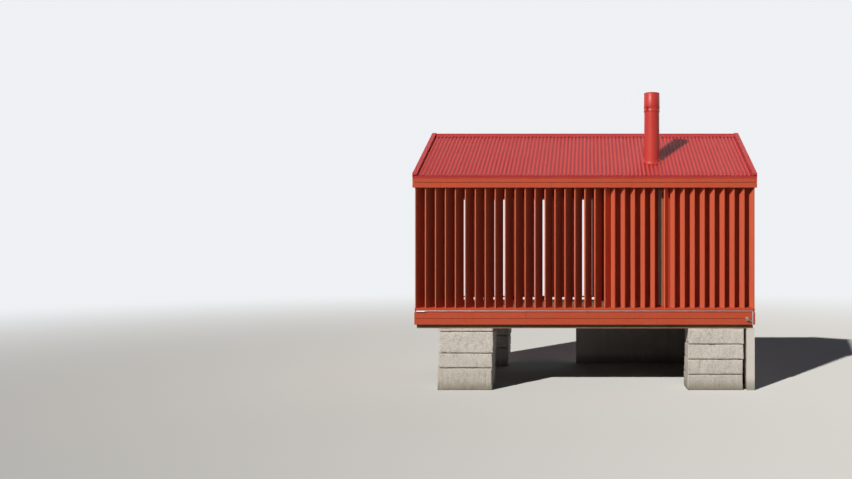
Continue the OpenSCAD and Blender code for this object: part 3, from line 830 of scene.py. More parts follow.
# Edges of equal boards that fill a stretch, with a gap between them
def boardStops(start, end, board, gap):
    count = max(1, round((end - start) / (board + gap)))
    step = (end - start + gap) / count
    return [(start + i * step, start + (i + 1) * step - gap) for i in range(count)]


def longLining(side, name):
    mesh = startMesh()
    y = (side * building["liningFace"], side * building["frameFace"])
    foot, head = building["sillTop"], building["slatTop"]
    start, end = building["roomStart"], building["endLiningFace"]
    stretches = [(start, end, foot, head)]
    if side < 0:  # round the tall window
        left, right = lining["windowLeft"], lining["windowRight"]
        stretches = [(start, left, foot, head), (right, end, foot, head),
                     (left, right, foot, lining["windowBase"]), (left, right, lining["windowTop"], head)]
    for start, end, low, high in stretches:
        for x in boardStops(start, end, lining["board"], lining["groove"]):
            addBoard(mesh, x, y, (low, high))
    softenEdges(mesh, lining["edge"])
    finishPiece(mesh, name + "_lining_boards", finish["lining"], name + "_lining")


def endLining():
    mesh = startMesh()
    x = (building["endFrameFace"], building["endLiningFace"])
    for side in (-1, 1):
        low, high = sorted((side * building["frameFace"], side * slats["doorSide"]))
        for y in boardStops(low, high, lining["board"], lining["groove"]):
            addBoard(mesh, x, y, (building["sillTop"], building["slatTop"]))
    softenEdges(mesh, lining["edge"])
    finishPiece(mesh, "landward_end_lining_boards", finish["lining"], "landward_end_lining")


def gableBoards(side, name):
    mesh = startMesh()
    x = sorted((side * building["endFace"], side * (building["endFace"] - building["gableThick"])))
    half = gable["halfWidth"]
    for a, b in boardStops(-half, half, gable["board"], gable["gap"]):
        top = [(b, rafterTop(b)), (a, rafterTop(a))]
        if a < 0 < b:  # the board below the ridge
            top.insert(1, (0.0, rafterTop(0.0)))
        outline = [(a, building["ledgeTop"]), (b, building["ledgeTop"])] + top
        addPrism(mesh, outline, x, lyingAlongX)
    softenEdges(mesh, gable["edge"])
    finishPiece(mesh, name + "_gable_boards", finish["upright"], name + "_gable")


def deckBoards():
    mesh = startMesh()
    gap = deck["buttGap"] / 2
    for k, y in enumerate(boardStops(-baseRear, baseRear, deck["board"], deck["gap"])):
        butt = deck["butts"][k % len(deck["butts"])]
        for x in ((-endBaseRear, butt - gap), (butt + gap, endBaseRear)):
            addBoard(mesh, x, y, (building["deckBase"], building["deckTop"]))
    softenEdges(mesh, deck["edge"])
    finishPiece(mesh, "floor_deck_boards", finish["timberX"], "floor_deck")


longLining(-1, "front")
longLining(1, "back")
endLining()
gableBoards(-1, "seaward")
gableBoards(1, "landward")
deckBoards()
print("lining, gables and deck ready")


doorway = {
    "halfWidth": 0.450,
    "jamb": 0.040,
    "headBase": 3.610,
    "board": 0.110,
    "gap": 0.003,
    "edge": 0.003,
}
window = {
    "bar": 0.020,
    "edge": 0.002,
    "casement": 0.026,  # width of the hinged bar that holds the pane
    "casementStop": 0.008,  # width of the other bars round the pane
    "casementDepth": (0.0008, 0.0066),
    "casementEdge": 0.001,
    "hingeHeights": (1.885, 2.000, 2.960),
    "hingeRadius": 0.009,
    "hingeLength": 0.075,
    "hingePlate": (0.038, 0.002, 0.060),  # width, depth and height
    "hingeInset": 0.002,
    "hingeOut": 0.0054,  # how far the knuckles' middle stands out of the frame's face
    "hingeEdge": 0.0006,
}


def doorLining():
    mesh = startMesh()
    x = (building["endFrameFace"], building["endFace"])
    half, jamb = doorway["halfWidth"], doorway["jamb"]
    headBase, headTop = doorway["headBase"], doorway["headBase"] + jamb
    for side in (-1, 1):
        addBoard(mesh, x, (side * half, side * (half + jamb)), (building["sillTop"], building["slatTop"]))
    addBoard(mesh, x, (-half, half), (headBase, headTop))
    for y in boardStops(-half, half, doorway["board"], doorway["gap"]):
        addBoard(mesh, x, y, (headTop, building["slatTop"]))
    softenEdges(mesh, doorway["edge"])
    finishPiece(mesh, "doorway_boards", finish["upright"], "door_lining")


# Four bars round an opening: the bars at the sides run through
def addBars(mesh, x, y, z, left, right, across):
    for a, b in ((x[0], x[0] + left), (x[1] - right, x[1])):
        addBoard(mesh, (a, b), y, z)
    for a, b in ((z[0], z[0] + across), (z[1] - across, z[1])):
        addBoard(mesh, (x[0] + left, x[1] - right), y, (a, b))


def windowBars():
    bar, stop = window["bar"], window["casementStop"]
    x, z = (lining["windowLeft"], lining["windowRight"]), (lining["windowBase"], lining["windowTop"])
    face = -building["liningFace"]
    mesh = startMesh()
    addBars(mesh, x, (face, -building["frameFace"]), z, bar, bar, bar)
    softenEdges(mesh, window["edge"])
    finishPiece(mesh, "window_frame_bars", finish["framePost"], "window_frame")
    mesh = startMesh()
    y = [face + depth for depth in window["casementDepth"]]
    addBars(mesh, (x[0] + bar, x[1] - bar), y, (z[0] + bar, z[1] - bar), window["casement"], stop, stop)
    softenEdges(mesh, window["casementEdge"])
    # the casement takes the lining paint, darkened as painted shade
    finishPiece(mesh, "window_casement", finish["lining"])


def windowHinges():
    mesh = startMesh()
    left, face = lining["windowLeft"], -building["liningFace"]
    radius, length, out = window["hingeRadius"], window["hingeLength"], window["hingeOut"]
    width, depth, tall = window["hingePlate"]
    plate = left + window["hingeInset"]
    for height in window["hingeHeights"]:
        place = (left + window["bar"] / 2, face - out, height - length / 2)
        addStud(mesh, place, (0, 0, 1), radius, length, 12)
        z = (height - tall / 2, height + tall / 2)
        addBoard(mesh, (plate, plate + width), (face - depth, face), z)
    softenEdges(mesh, window["hingeEdge"])
    finishPiece(mesh, "window_hinges", finish["framePost"])


doorLining()
windowBars()
windowHinges()
print("doorway and window ready")


sheet = {
    "depth": 0.018,
    "thick": 0.0009,
    "waves": 13,  # of one sheet, without its lap
    "lap": 0.62,  # share of a wave that a sheet laps over its neighbour
    "lapLift": 0.0009,
    "steps": 12,  # straight pieces of a wave
    "stations": (1.4, 0.7, 0.0),  # further rows of points up the slope
    "end": 3.235,
    "holeRadius": 0.158,
    "holeMiddle": 4.6,
    "holeHeight": 1.6,
    "sharp": 50,
}
roofScrew = {
    "every": 3,  # waves from one screw to the next
    "rows": (1.785, 1.344, 0.904, 0.463, 0.085),
    "chimneyGap": 0.22,
    "lastX": 3.14,
    "sunk": 0.0012,
    "washer": (0.0085, 0.0016),  # radius and height
    "head": (0.0042, 0.0040),
}
chimney = {
    "x": 1.310,
    "y": -1.350,
    "radius": 0.150,
    "wall": 0.025,
    "head": 0.004,  # how far the head stands out over the clamp band
    "foot": 4.1843,
    "top": 5.72590,
    "rim": 0.010,
    "bandLow": 5.35594,
    "bandHeight": 0.100,
    "bandThick": 0.006,
    "collarHeight": 0.060,
    "collarThick": 0.030,
    "fit": 0.0003,
    "sides": 64,
}


def waveHeight(x):
    return sheet["depth"] * (0.5 + 0.5 * math.cos(2 * math.pi * x / roof["wave"]))


# One sheet as a closed thin solid, between two places along X
def addSheet(mesh, low, high, lift, side, board):
    count = max(4, round((high - low) / roof["wave"] * sheet["steps"]))
    base = roof["sheetDepth"] - sheet["depth"] - sheet["thick"] - sheet["lapLift"]
    profiles = []
    for i in range(count + 1):
        x = low + (high - low) * i / count
        under = waveHeight(x) + lift + base - roof["sheetDepth"]
        down = [(y, under) for y in (roof["edge"], *sheet["stations"])]
        up = [(y, under + sheet["thick"]) for y, _ in reversed(down)]
        profiles.append([mesh.verts.new((x, side * y, sheetTop(y) + plumb(rise))) for y, rise in down + up])
    faces = []
    for a, b in zip(profiles, profiles[1:]):
        faces += joinRings(mesh, a, b)
    rows = len(sheet["stations"])
    for end in (profiles[0], profiles[-1]):
        for k in range(rows):
            faces.append(mesh.faces.new((end[k], end[k + 1], end[-2 - k], end[-1 - k])))
    markFaces(mesh, faces, board)


def roofSheets(side, name):
    mesh = startMesh()
    width = sheet["waves"] * roof["wave"]
    starts = [-sheet["end"] + k * width for k in range(math.ceil(2 * sheet["end"] / width))]
    for k, start in enumerate(starts):
        stop = min(start + width + sheet["lap"] * roof["wave"], sheet["end"])
        addSheet(mesh, start, stop, sheet["lapLift"] * (k % 2), side, random.random())
    piece = finishPiece(mesh, name + "_roof_waves", finish["roofSheet"],
                        name + "_roof_sheet")
    if side < 0:
        cutter, radius = bmesh.new(), sheet["holeRadius"]
        middle = Matrix.Translation((chimney["x"], chimney["y"], sheet["holeMiddle"]))
        bmesh.ops.create_cone(cutter, cap_ends=True, segments=72, radius1=radius, radius2=radius,
                              depth=sheet["holeHeight"], matrix=middle)
        cutAway(piece, cutter)
    smoothPiece(piece, sheet["sharp"])


def addRoofScrew(mesh, x, y, normal):
    place = Vector((x, y, sheetTop(y))) - normal * roofScrew["sunk"]
    addStud(mesh, place, normal, *roofScrew["washer"], 10)
    addStud(mesh, place + normal * roofScrew["washer"][1], normal, *roofScrew["head"], 6)


def roofScrews():
    mesh = startMesh()
    step = roofScrew["every"] * roof["wave"]
    count = int(roofScrew["lastX"] / step)
    for side in (-1, 1):
        normal = Vector((0, side * math.sin(pitchAngle), math.cos(pitchAngle)))
        for row in roofScrew["rows"]:
            for i in range(-count, count + 1):
                x, y = i * step, side * row
                if math.hypot(x - chimney["x"], y - chimney["y"]) > roofScrew["chimneyGap"]:
                    addRoofScrew(mesh, x, y, normal)
    finishPiece(mesh, "roof_screws", finish["trim"])


roofSheets(-1, "front")
roofSheets(1, "back")
roofScrews()
print("roof ready")


# A surface of revolution from a closed profile of (radius, height) points
def addTurned(mesh, profile, sides, place):
    rings = [[mesh.verts.new(place(r * x, r * y, z)) for r, z in profile] for x, y in circlePoints(sides)]
    for a, b in zip(rings, rings[1:] + rings[:1]):
        markFaces(mesh, joinRings(mesh, a, b), 0.5)


def arcPoints(centre, radius, start, end, steps):
    turns = [math.radians(start + (end - start) * i / steps) for i in range(steps + 1)]
    return [(centre[0] + radius * math.cos(t), centre[1] + radius * math.sin(t)) for t in turns]


def aroundChimney(x, y, z):
    return Vector((x + chimney["x"], y + chimney["y"], z))


def chimneyPipe():
    r, top, foot, rim = chimney["radius"], chimney["top"], chimney["foot"], chimney["rim"]
    inner = r - chimney["wall"]
    head = r + chimney["head"]
    joint = chimney["bandLow"] + chimney["bandHeight"] + 0.006
    profile = [(inner, foot), (r, foot), (r - 0.003, joint - 0.008), (r - 0.003, joint),
               (head, joint), (head, joint + 0.004), (head - 0.001, top - 0.030),
               (head - 0.0025, top - 0.028), (head - 0.0025, top - 0.022)]
    profile += arcPoints((head - rim, top - rim), rim, 0, 180, 8)
    profile += [(inner + 0.004, top - 0.012), (inner, top - 0.020)]
    mesh = startMesh()
    addTurned(mesh, profile, chimney["sides"], aroundChimney)
    piece = finishPiece(mesh, "chimney_tube", finish["chimney"], "chimney_pipe")
    smoothPiece(piece, 40)


clampLug = {
    "angle": -125.0,  # the two lugs stand on the left of the front
    "lift": 0.004,
    "spread": 0.011,  # of each lug from the middle
    "thick": 0.003,
    "reach": 0.022,
    "tall": 0.084,
    "boltHeights": (-0.026, 0.026),
    "boltReach": 0.013,
    "bolt": (0.0032, 0.040),  # radius and length
    "nut": (0.0062, 0.005),
    "nutPlaces": (-0.003, 0.034),  # along the bolt
    "tone": 0.3,
    "boltTone": 0.9,
}


# Two folded lugs with bolts through them
def addLugs(mesh, r, middle):
    angle = math.radians(clampLug["angle"])
    out = Vector((math.cos(angle), math.sin(angle), 0))
    along = Vector((-out.y, out.x, 0))
    centre = aroundChimney(0, 0, middle) + out * (r + clampLug["lift"])
    half, reach, tall = clampLug["thick"] / 2, clampLug["reach"], clampLug["tall"]
    for shift in (-clampLug["spread"], clampLug["spread"]):
        outline = [(shift - half, 0.0), (shift + half, 0.0), (shift + half, reach), (shift - half, reach)]
        addPrism(mesh, outline, (-tall / 2, tall / 2),
                 lambda u, v, w: centre + along * u + out * v + Vector((0, 0, w)), clampLug["tone"])
    for height in clampLug["boltHeights"]:
        start = centre + out * clampLug["boltReach"] - along * clampLug["bolt"][1] / 2
        start.z += height
        addStud(mesh, start, along, *clampLug["bolt"], 10, clampLug["boltTone"])
        for place in clampLug["nutPlaces"]:
            addStud(mesh, start + along * place, along, *clampLug["nut"], 6, clampLug["boltTone"])


def chimneyBand():
    r = chimney["radius"] + chimney["fit"]
    low, high, out = chimney["bandLow"], chimney["bandLow"] + chimney["bandHeight"], chimney["bandThick"]
    lower = [(0.0, 0.0), (0.7, 0.0), (1.0, 0.004), (1.0, 0.016), (0.5, 0.022)]  # share of out, rise
    profile = [(r + out * share, low + rise) for share, rise in lower]
    profile += [(r + out * share, high - rise) for share, rise in reversed(lower)]
    mesh = startMesh()
    addTurned(mesh, profile, chimney["sides"], aroundChimney)
    addLugs(mesh, r, (low + high) / 2)
    piece = finishPiece(mesh, "chimney_clamp", finish["chimney"], "chimney_band")
    smoothPiece(piece, 35)


# Collar that flares from the pipe on to the slope of the sheet
def chimneyCollar():
    inner = chimney["radius"] + chimney["fit"]
    tall, wide = chimney["collarHeight"], chimney["collarThick"]
    profile = [(0.0, 0.0), (1.0, 0.0), (1.0, 0.004), (0.72, 0.008), (0.42, 0.016),
               (0.26, tall - 0.010), (0.30, tall - 0.004), (0.16, tall), (0.0, tall)]
    mesh = startMesh()
    addTurned(mesh, [(inner + wide * share, z) for share, z in profile], chimney["sides"],
              lambda x, y, z: aroundChimney(x, y, z + sheetTop(y + chimney["y"])))
    piece = finishPiece(mesh, "chimney_boot", finish["chimney"], "chimney_collar")
    smoothPiece(piece, 50)


chimneyPipe()
chimneyBand()
chimneyCollar()
print("chimney ready")


pier = {
    "top": 1.170,
    "outerFace": 1.895,
    "innerFace": 1.275,
    "cell": 0.022,  # mesh size on the stones
    "joint": 0.011,
    "relief": 0.021,
    "waves": ((0.55, 0.55), (0.21, 0.50), (0.085, 0.38), (0.040, 0.24)),  # size and weight
    "wavesOfSize": 5,
    "edgeSunk": 0.004,
    "chip": 0.0168,
    "chips": 14,
    "chipReach": (0.03, 0.09),
    "upright": 0.35,  # share of a hollow's depth on the beds of a stone
    "slabRelief": 0.008,
    "slabTone": 0.8,
    "sharp": 38,
}
seaStones = {
    "x": (-2.790, -1.740),
    "shares": (0.38, 0.25, 0.37),  # of the stack's height, from the foot up
    "shifts": (-0.012, -0.008, 0.012),
    "slab": 0.050,
}
landStones = {
    "x": (1.950, 3.020),
    "shares": (0.26, 0.245, 0.245, 0.25),
    "shifts": (-0.014, -0.010, -0.002, 0.006),
    "slab": 0.0,
}


# Smooth random heights over space, from a few sine waves of random direction
def makeRelief(seed):
    draw = random.Random(seed)
    terms = []
    for size, weight in pier["waves"]:
        for _ in range(pier["wavesOfSize"]):
            direction = Vector((draw.gauss(0, 1), draw.gauss(0, 1), draw.gauss(0, 1))).normalized()
            wave = direction * (2 * math.pi / (size * draw.uniform(0.7, 1.4)))
            terms.append((wave, draw.uniform(0, 6.3), weight / pier["wavesOfSize"]))
    return lambda p: sum(w * math.sin(wave.dot(p) + phase) for wave, phase, w in terms)


# A block of split stone: a fine grid on a box, its faces sunk by relief and its edges chipped
def addStone(mesh, low, high, seed, relief, board):
    low, high = Vector(low), Vector(high)
    size = high - low
    counts = [max(2, round(s / pier["cell"])) for s in size]
    rough = makeRelief(seed)
    draw = random.Random(seed + 5)
    chips = []
    for _ in range(pier["chips"]):
        spot = Vector((draw.random() * size.x, draw.random() * size.y, draw.choice((0, 1)) * size.z))
        chips.append((low + spot, draw.uniform(*pier["chipReach"])))
    corners = {}

    def vertex(key):
        if key in corners:
            return corners[key]
        point = low + Vector([size[a] * key[a] / counts[a] for a in range(3)])
        normal = Vector([-1 if c == 0 else 1 if c == n else 0 for c, n in zip(key, counts)])
        edges = sum(1 for c in normal if c)
        sink = min(max(relief * (0.5 + 0.5 * rough(point)), 0.0), relief)
        sink += pier["edgeSunk"] if edges > 1 else 0.0
        for centre, reach in chips:
            near = (point - centre).length
            if near < reach:
                sink += pier["chip"] * (1 - near / reach)
        flat = Vector((normal.x, normal.y, normal.z * pier["upright"]))
        corners[key] = mesh.verts.new(point - flat * sink)
        return corners[key]

    def quad(axis, end, a, b):
        u, v = [other for other in range(3) if other != axis]
        keys = []
        for da, db in ((0, 0), (1, 0), (1, 1), (0, 1)):
            key = [0, 0, 0]
            key[axis], key[u], key[v] = end, a + da, b + db
            keys.append(tuple(key))
        return mesh.faces.new([vertex(key) for key in keys])

    for axis in range(3):
        u, v = [counts[other] for other in range(3) if other != axis]
        for end in (0, counts[axis]):
            markFaces(mesh, [quad(axis, end, a, b) for a in range(u) for b in range(v)], board)


def stonePier(name, stones, side, seed):
    mesh = startMesh()
    (x0, x1), (y0, y1) = stones["x"], sorted((side * pier["outerFace"], side * pier["innerFace"]))
    stack = pier["top"] - stones["slab"]
    foot = 0.0
    for k, (share, shift) in enumerate(zip(stones["shares"], stones["shifts"])):
        top = foot + share * stack
        last = k == len(stones["shares"]) - 1
        gap = 0.0 if last and not stones["slab"] else pier["joint"]
        addStone(mesh, (x0 + shift, y0, foot), (x1 + shift, y1, top - gap), seed + k, pier["relief"],
                 random.random())
        foot = top
    if stones["slab"]:
        addStone(mesh, (x0, y0, stack), (x1, y1, pier["top"]), seed + 9, pier["slabRelief"],
                 pier["slabTone"])
    piece = finishPiece(mesh, name + "_stones", finish["granite"], name)
    smoothPiece(piece, pier["sharp"])


stonePier("front_sea_pier", seaStones, -1, 100)
stonePier("back_sea_pier", seaStones, 1, 200)
stonePier("front_land_pier", landStones, -1, 300)
print("piers ready")


concrete = {
    "board": 0.100,
    "step": (0.0002, 0.0025),  # how far a form board's strip is sunk
    "endX": (3.073, 3.219),
    "endY": 1.895,
    "backX": (-0.222, 3.073),
    "backY": (1.745, 1.895),
    "tieRadii": (0.0084, 0.0182),  # at the bottom and at the mouth of a tie hole
    "tieDepth": 0.012,
    "tieStep": 0.75,
    "backTies": (4, 0.4),  # how many, and the first one's place in steps
    "endTies": (5, 0.5),
    "tieHeights": (0.30, 0.86),
}


# A wall as upright strips, each a little in or out of the others, as left by the form boards
def formWall(mesh, start, end, low, high, place):
    near, far, tones = [], [], []
    for a, b in boardStops(start, end, concrete["board"], 0.0):
        inset = [random.uniform(*concrete["step"]) for _ in range(2)]
        near += [(a, low + inset[0]), (b, low + inset[0])]
        far += [(a, high - inset[1]), (b, high - inset[1])]
        tones += [random.random()] * 2
    faces = addPrism(mesh, near + far[::-1], (0.0, pier["top"]), place)
    for face, tone in zip(faces[2:], tones + tones[:-1][::-1]):
        markFaces(mesh, [face], tone)


# Shallow holes where the ties of the forms were, each as its place and the way it faces
def cutTies(wall, holes):
    mesh = bmesh.new()
    bottom, mouth = concrete["tieRadii"]
    for place, normal in holes:
        turn = Vector(normal).to_track_quat("Z", "Y").to_matrix().to_4x4()
        bmesh.ops.create_cone(mesh, cap_ends=True, segments=16, radius1=bottom, radius2=mouth,
                              depth=2 * concrete["tieDepth"], matrix=Matrix.Translation(place) @ turn)
    cutAway(wall, mesh)


def tiePlaces(start, ties):
    count, first = ties
    along = [start + (i + first) * concrete["tieStep"] for i in range(count)]
    return [(place, z) for place in along for z in concrete["tieHeights"]]


def backWall():
    mesh = startMesh()
    (x0, x1), (y0, y1) = concrete["backX"], concrete["backY"]
    formWall(mesh, x0, x1, y0, y1, lambda u, v, w: Vector((u, v, w)))
    wall = finishPiece(mesh, "back_footing_wall", finish["concrete"], "back_footing")
    places = tiePlaces(x0, concrete["backTies"])
    cutTies(wall, [((x, y, z), (0, side, 0)) for x, z in places for y, side in ((y0, -1), (y1, 1))])


def endWall():
    mesh = startMesh()
    (x0, x1), reach = concrete["endX"], concrete["endY"]
    formWall(mesh, -reach, reach, x0, x1, lambda u, v, w: Vector((v, u, w)))
    wall = finishPiece(mesh, "landward_footing_wall", finish["concrete"],
                       "landward_end_footing")
    cutTies(wall, [((x1, y, z), (1, 0, 0)) for y, z in tiePlaces(-reach, concrete["endTies"])])


backWall()
endWall()
print("concrete ready")


pipe = {
    "radius": 0.011,
    "y": -1.950,
    "back": 1.935,  # the sill's face behind the pipe
    "z": 1.505,
    "start": -3.177,
    "downX": 3.171,
    "downY": -1.955,
    "downBend": 0.032,  # how far below the run the pipe stands at downY
    "foot": 1.236,
    "bend": 0.030,
    "sleeveRadius": 0.016,
    "sleeveLength": 0.160,
    "sleeveShift": (-0.001, -0.0105),  # of its axis from the pipe's, along Y and Z
    "sockets": (-1.2, 1.9),
    "socketRadius": 0.01276,
    "socketLength": 0.034,
    "clipStep": 0.620,
    "clipWidth": 0.018,
    "clipGap": 0.0005,
    "clipThick": 0.0015,
    "clipTaper": 0.0005,  # how much thinner the upper arm is at the wall
    "sides": 20,
    "sharp": 40,
}
tap = {
    "x": 3.065,
    "y": -1.940,
    "z": 1.362,
    "flangeRadius": 0.028,
    "bodyRadius": 0.013,
    "reach": 0.060,
    "hubRadius": 0.009,
    "wheelRadius": 0.035,
    "wheelRim": 0.0045,
    "spokes": 5,
    "spokeRadius": 0.0026,
    "spoutRadius": 0.0081,
    "spoutLength": 0.095,
    "spoutFall": 35.0,
    "spoutBend": 0.012,
    "core": 0.0005,  # inner radius of the turned parts
    "sharp": 35,
}


# A round tube along a line of points, closed at both ends
def addTube(mesh, points, radius, sides=16):
    points = [Vector(p) for p in points]
    rings = []
    side = None
    for i, point in enumerate(points):
        ahead = points[min(i + 1, len(points) - 1)] - points[max(i - 1, 0)]
        ahead.normalize()
        side = ahead.orthogonal() if side is None else side - ahead * side.dot(ahead)
        side.normalize()
        other = ahead.cross(side)
        rings.append([mesh.verts.new(point + side * u + other * v) for u, v in circlePoints(sides, radius)])
    faces = [mesh.faces.new(rings[0]), mesh.faces.new(rings[-1])]
    for a, b in zip(rings, rings[1:]):
        faces += joinRings(mesh, a, b)
    markFaces(mesh, faces, 0.5)


# Points of a line whose corners are rounded
def roundedPath(corners, radius, steps=6):
    corners = [Vector(c) for c in corners]
    path = [corners[0]]
    for before, corner, after in zip(corners, corners[1:], corners[2:]):
        a = corner + (before - corner).normalized() * min(radius, (before - corner).length / 2)
        b = corner + (after - corner).normalized() * min(radius, (after - corner).length / 2)
        for i in range(steps + 1):
            path.append(a.lerp(corner, i / steps).lerp(corner.lerp(b, i / steps), i / steps))
    return path + [corners[-1]]


# A strap round the pipe that is closed at the sill's face
def addClip(mesh, x):
    y, z, rear = pipe["y"], pipe["z"], -pipe["back"]
    inner = pipe["radius"] + pipe["clipGap"]
    outer = inner + pipe["clipThick"]
    outline = [(rear, z + inner)] + arcPoints((y, z), inner, 90, 270, 10)
    outline += [(rear, z - inner), (rear, z - outer)] + arcPoints((y, z), outer, 270, 90, 10)
    outline += [(rear, z + outer - pipe["clipTaper"])]
    addPrism(mesh, outline, (x, x + pipe["clipWidth"]), lyingAlongX)


def waterPipe():
    mesh = startMesh()
    x0, x1, y, z, downY = pipe["start"], pipe["downX"], pipe["y"], pipe["z"], pipe["downY"]
    corners = [(x0, y, z), (x1, y, z), (x1, downY, z - pipe["downBend"]), (x1, downY, pipe["foot"])]
    addTube(mesh, roundedPath(corners, pipe["bend"]), pipe["radius"], pipe["sides"])
    sleeveY, sleeveZ = y + pipe["sleeveShift"][0], z + pipe["sleeveShift"][1]
    sleeve = [(x, sleeveY, sleeveZ) for x in (x0, x0 + pipe["sleeveLength"])]
    addTube(mesh, sleeve, pipe["sleeveRadius"], pipe["sides"])
    for x in pipe["sockets"]:
        addTube(mesh, [(x, y, z), (x + pipe["socketLength"], y, z)], pipe["socketRadius"], pipe["sides"])
    place = -building["endFace"] + pipe["clipStep"]
    while place < x1 - pipe["clipWidth"]:
        addClip(mesh, place)
        place += pipe["clipStep"]
    piece = finishPiece(mesh, "water_pipe_run", finish["steel"], "water_pipe")
    smoothPiece(piece, pipe["sharp"])


# A place on the tap, where z is how far it stands off the wall
def inFrontOfTap(x, y, z):
    return Vector((tap["x"] + x, tap["y"] - z, tap["z"] + y))


def addHandwheel(mesh):
    reach, core, hub, rim = tap["reach"], tap["core"], tap["hubRadius"], tap["wheelRim"]
    middle = tap["wheelRadius"] - 0.005
    addTurned(mesh, arcPoints((middle, reach + rim), rim, 0, 330, 10), 32, inFrontOfTap)
    profile = [(core, reach), (hub, reach), (hub, reach + 0.007), (core, reach + 0.009)]
    addTurned(mesh, profile, 16, inFrontOfTap)
    for i in range(tap["spokes"]):
        angle = 2 * math.pi * i / tap["spokes"] + 0.3
        x, y = math.cos(angle), math.sin(angle)
        ends = [inFrontOfTap(far * x, far * y, reach + rim) for far in (0.006, middle)]
        addTube(mesh, ends, tap["spokeRadius"], 8)


def waterTap():
    mesh = startMesh()
    r, flange, core, stem = tap["bodyRadius"], tap["flangeRadius"], tap["core"], tap["reach"] + 0.002
    profile = [(core, 0), (flange, 0), (flange, 0.003), (flange - 0.004, 0.006), (r + 0.003, 0.007),
               (r, 0.012), (r, 0.030), (r + 0.003, 0.033), (r + 0.003, 0.046), (r - 0.003, 0.049),
               (0.006, 0.054), (0.005, stem), (core, stem)]
    addTurned(mesh, profile, 28, inFrontOfTap)
    addHandwheel(mesh)
    fall, bend = math.radians(tap["spoutFall"]), tap["spoutBend"]
    start = inFrontOfTap(0, 0, tap["reach"] - r)
    tip = start + Vector((math.cos(fall), 0, -math.sin(fall))) * (tap["spoutLength"] - bend)
    low = Vector((tap["x"] + math.cos(fall) * tap["spoutLength"], start.y, tip.z - bend))
    addTube(mesh, roundedPath([start, tip, low], bend), tap["spoutRadius"])
    piece = finishPiece(mesh, "water_tap_parts", finish["tap"], "water_tap")
    smoothPiece(piece, tap["sharp"])


waterPipe()
waterTap()
print("pipe and tap ready")


# Finish of the CAD pieces that stay
cadFinish = {
    "alongX": ("front_sill", "back_sill"),
    "alongY": ("end_sills",),
    "frameX": ("front_wall_plate", "back_wall_plate"),
    "frameY": ("end_plates",),
    "framePost": ("front_posts", "back_posts"),
    "timberX": ("floor_beams", "ridge_beam", "front_battens", "back_battens"),
    "timberY": ("floor_joists", "front_rafters", "back_rafters"),
    "trim": ("ridge_cap", "front_verge_trims", "back_verge_trims", "front_eave_flashing",
             "back_eave_flashing"),
    "glass": ("window_pane",),
}
for key, names in cadFinish.items():
    for name in names:
        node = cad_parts[name]
        if not node.material_slots:
            node.data.materials.append(None)
        for materialSlot in node.material_slots:
            materialSlot.material = finish[key]
print("finish of the CAD pieces ready")


view = {
    "place": (0.075, -17.6, 2.71),
    "turn": (90.0, 0.0, 0.0),
    "lens": 35.03,
    "sensor": 36.0,
    "shift": (-0.191, 0.009),
    "clipEnd": 300.0,
}
light = {
    "direction": (0.4695, 0.7040, -0.5329),
    "keyStrength": 3.75,
    "keyAngle": 1.5,
    "keyTint": (1.0, 0.965, 0.91),
    "fillDirection": (-0.15, -1.0, -0.45),
    "fillStrength": 0.9,
    "fillAngle": 55.0,
    "fillTint": (0.88, 0.93, 1.0),
    "worldStrength": 0.06,
    "worldTint": colour(0.66, 0.80, 1.0),
    "backdrop": colour(0.86, 0.88, 0.90),
    "floor": colour(0.56, 0.56, 0.55),
    "floorBounce": colour(0.34, 0.34, 0.33),  # the floor's part in lighting the object
    "floorRadius": 60.0,
    "floorFade": (9.0, 34.0),  # where the floor passes over into the backdrop
    "floorDrop": 0.001,
}


def addCamera():
    data = bpy.data.cameras.new("camera")
    data.lens = view["lens"]
    data.sensor_width = view["sensor"]
    data.shift_x, data.shift_y = view["shift"]
    data.clip_end = view["clipEnd"]
    camera = addObject("camera", data)
    camera.location = view["place"]
    camera.rotation_euler = [math.radians(angle) for angle in view["turn"]]
    bpy.context.scene.camera = camera


def addSun(name, direction, strength, angle, tint):
    data = bpy.data.lights.new(name, "SUN")
    data.energy = strength
    data.angle = math.radians(angle)
    data.color = tint
    lamp = addObject(name, data)
    lamp.rotation_euler = Vector(direction).to_track_quat("-Z", "Y").to_euler()
    lamp.location = (0, 0, 12)


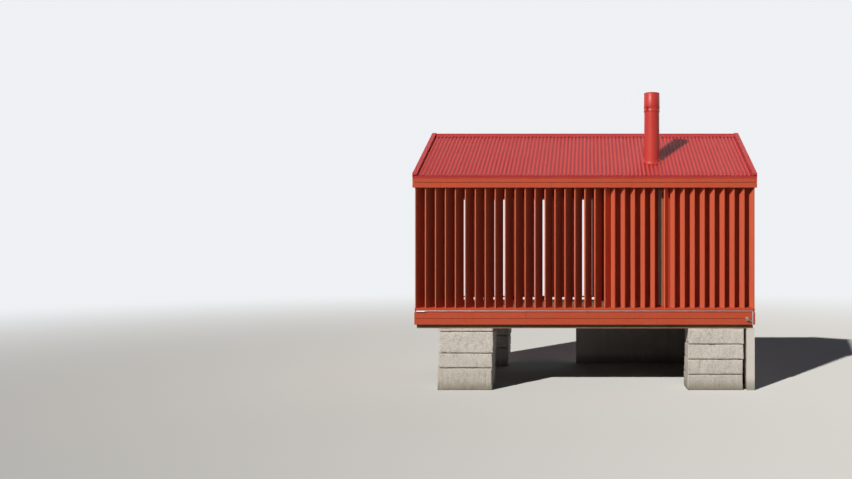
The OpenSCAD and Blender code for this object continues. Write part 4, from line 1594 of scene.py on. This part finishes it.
# 1 where the camera sees a surface, in a mirror or through glass too, and 0 for its bounce light
def whereSeen(n):
    path = n.add("ShaderNodeLightPath").outputs
    seen = n.math("MAXIMUM", path["Is Camera Ray"], path["Is Glossy Ray"])
    return n.math("MAXIMUM", seen, path["Is Transmission Ray"])


def addWorld():
    world = bpy.data.worlds.new("studio")
    bpy.context.scene.world = world
    n = clearedNodes(world)
    ambient = n.add("ShaderNodeBackground",
                    {"Color": light["worldTint"], "Strength": light["worldStrength"]})
    backdrop = n.add("ShaderNodeBackground", {"Color": light["backdrop"], "Strength": 1.0})
    both = n.add("ShaderNodeMixShader", {0: whereSeen(n), 1: ambient.outputs[0], 2: backdrop.outputs[0]})
    n.add("ShaderNodeOutputWorld", {0: both.outputs[0]})


def floorMaterial():
    material = bpy.data.materials.new("pale floor")
    n = clearedNodes(material)
    place = n.add("ShaderNodeTexCoord").outputs["Object"]
    distance = n.add("ShaderNodeVectorMath", {0: place}, operation="LENGTH").outputs["Value"]
    fade = n.ramp(distance, *light["floorFade"])
    shade = n.mix(whereSeen(n), light["floorBounce"], light["floor"])
    matte = n.add("ShaderNodeBsdfDiffuse", {"Color": shade, "Roughness": 0.8})
    far = n.add("ShaderNodeEmission", {"Color": light["backdrop"], "Strength": 1.0})
    both = n.add("ShaderNodeMixShader", {0: fade, 1: matte.outputs[0], 2: far.outputs[0]})
    n.add("ShaderNodeOutputMaterial", {0: both.outputs[0]})
    return material


def addFloor():
    mesh = bmesh.new()
    bmesh.ops.create_circle(mesh, cap_ends=True, segments=96, radius=light["floorRadius"])
    floor = addMeshObject("floor", mesh)
    floor.location = (0, 0, -light["floorDrop"])
    floor.data.materials.append(floorMaterial())


addCamera()
addSun("key light", light["direction"], light["keyStrength"], light["keyAngle"], light["keyTint"])
addSun("back fill", light["fillDirection"], light["fillStrength"], light["fillAngle"], light["fillTint"])
addWorld()
addFloor()
bpy.context.scene.view_settings.view_transform = "Standard"
print("camera, light and floor ready")

bpy.context.view_layer.update()
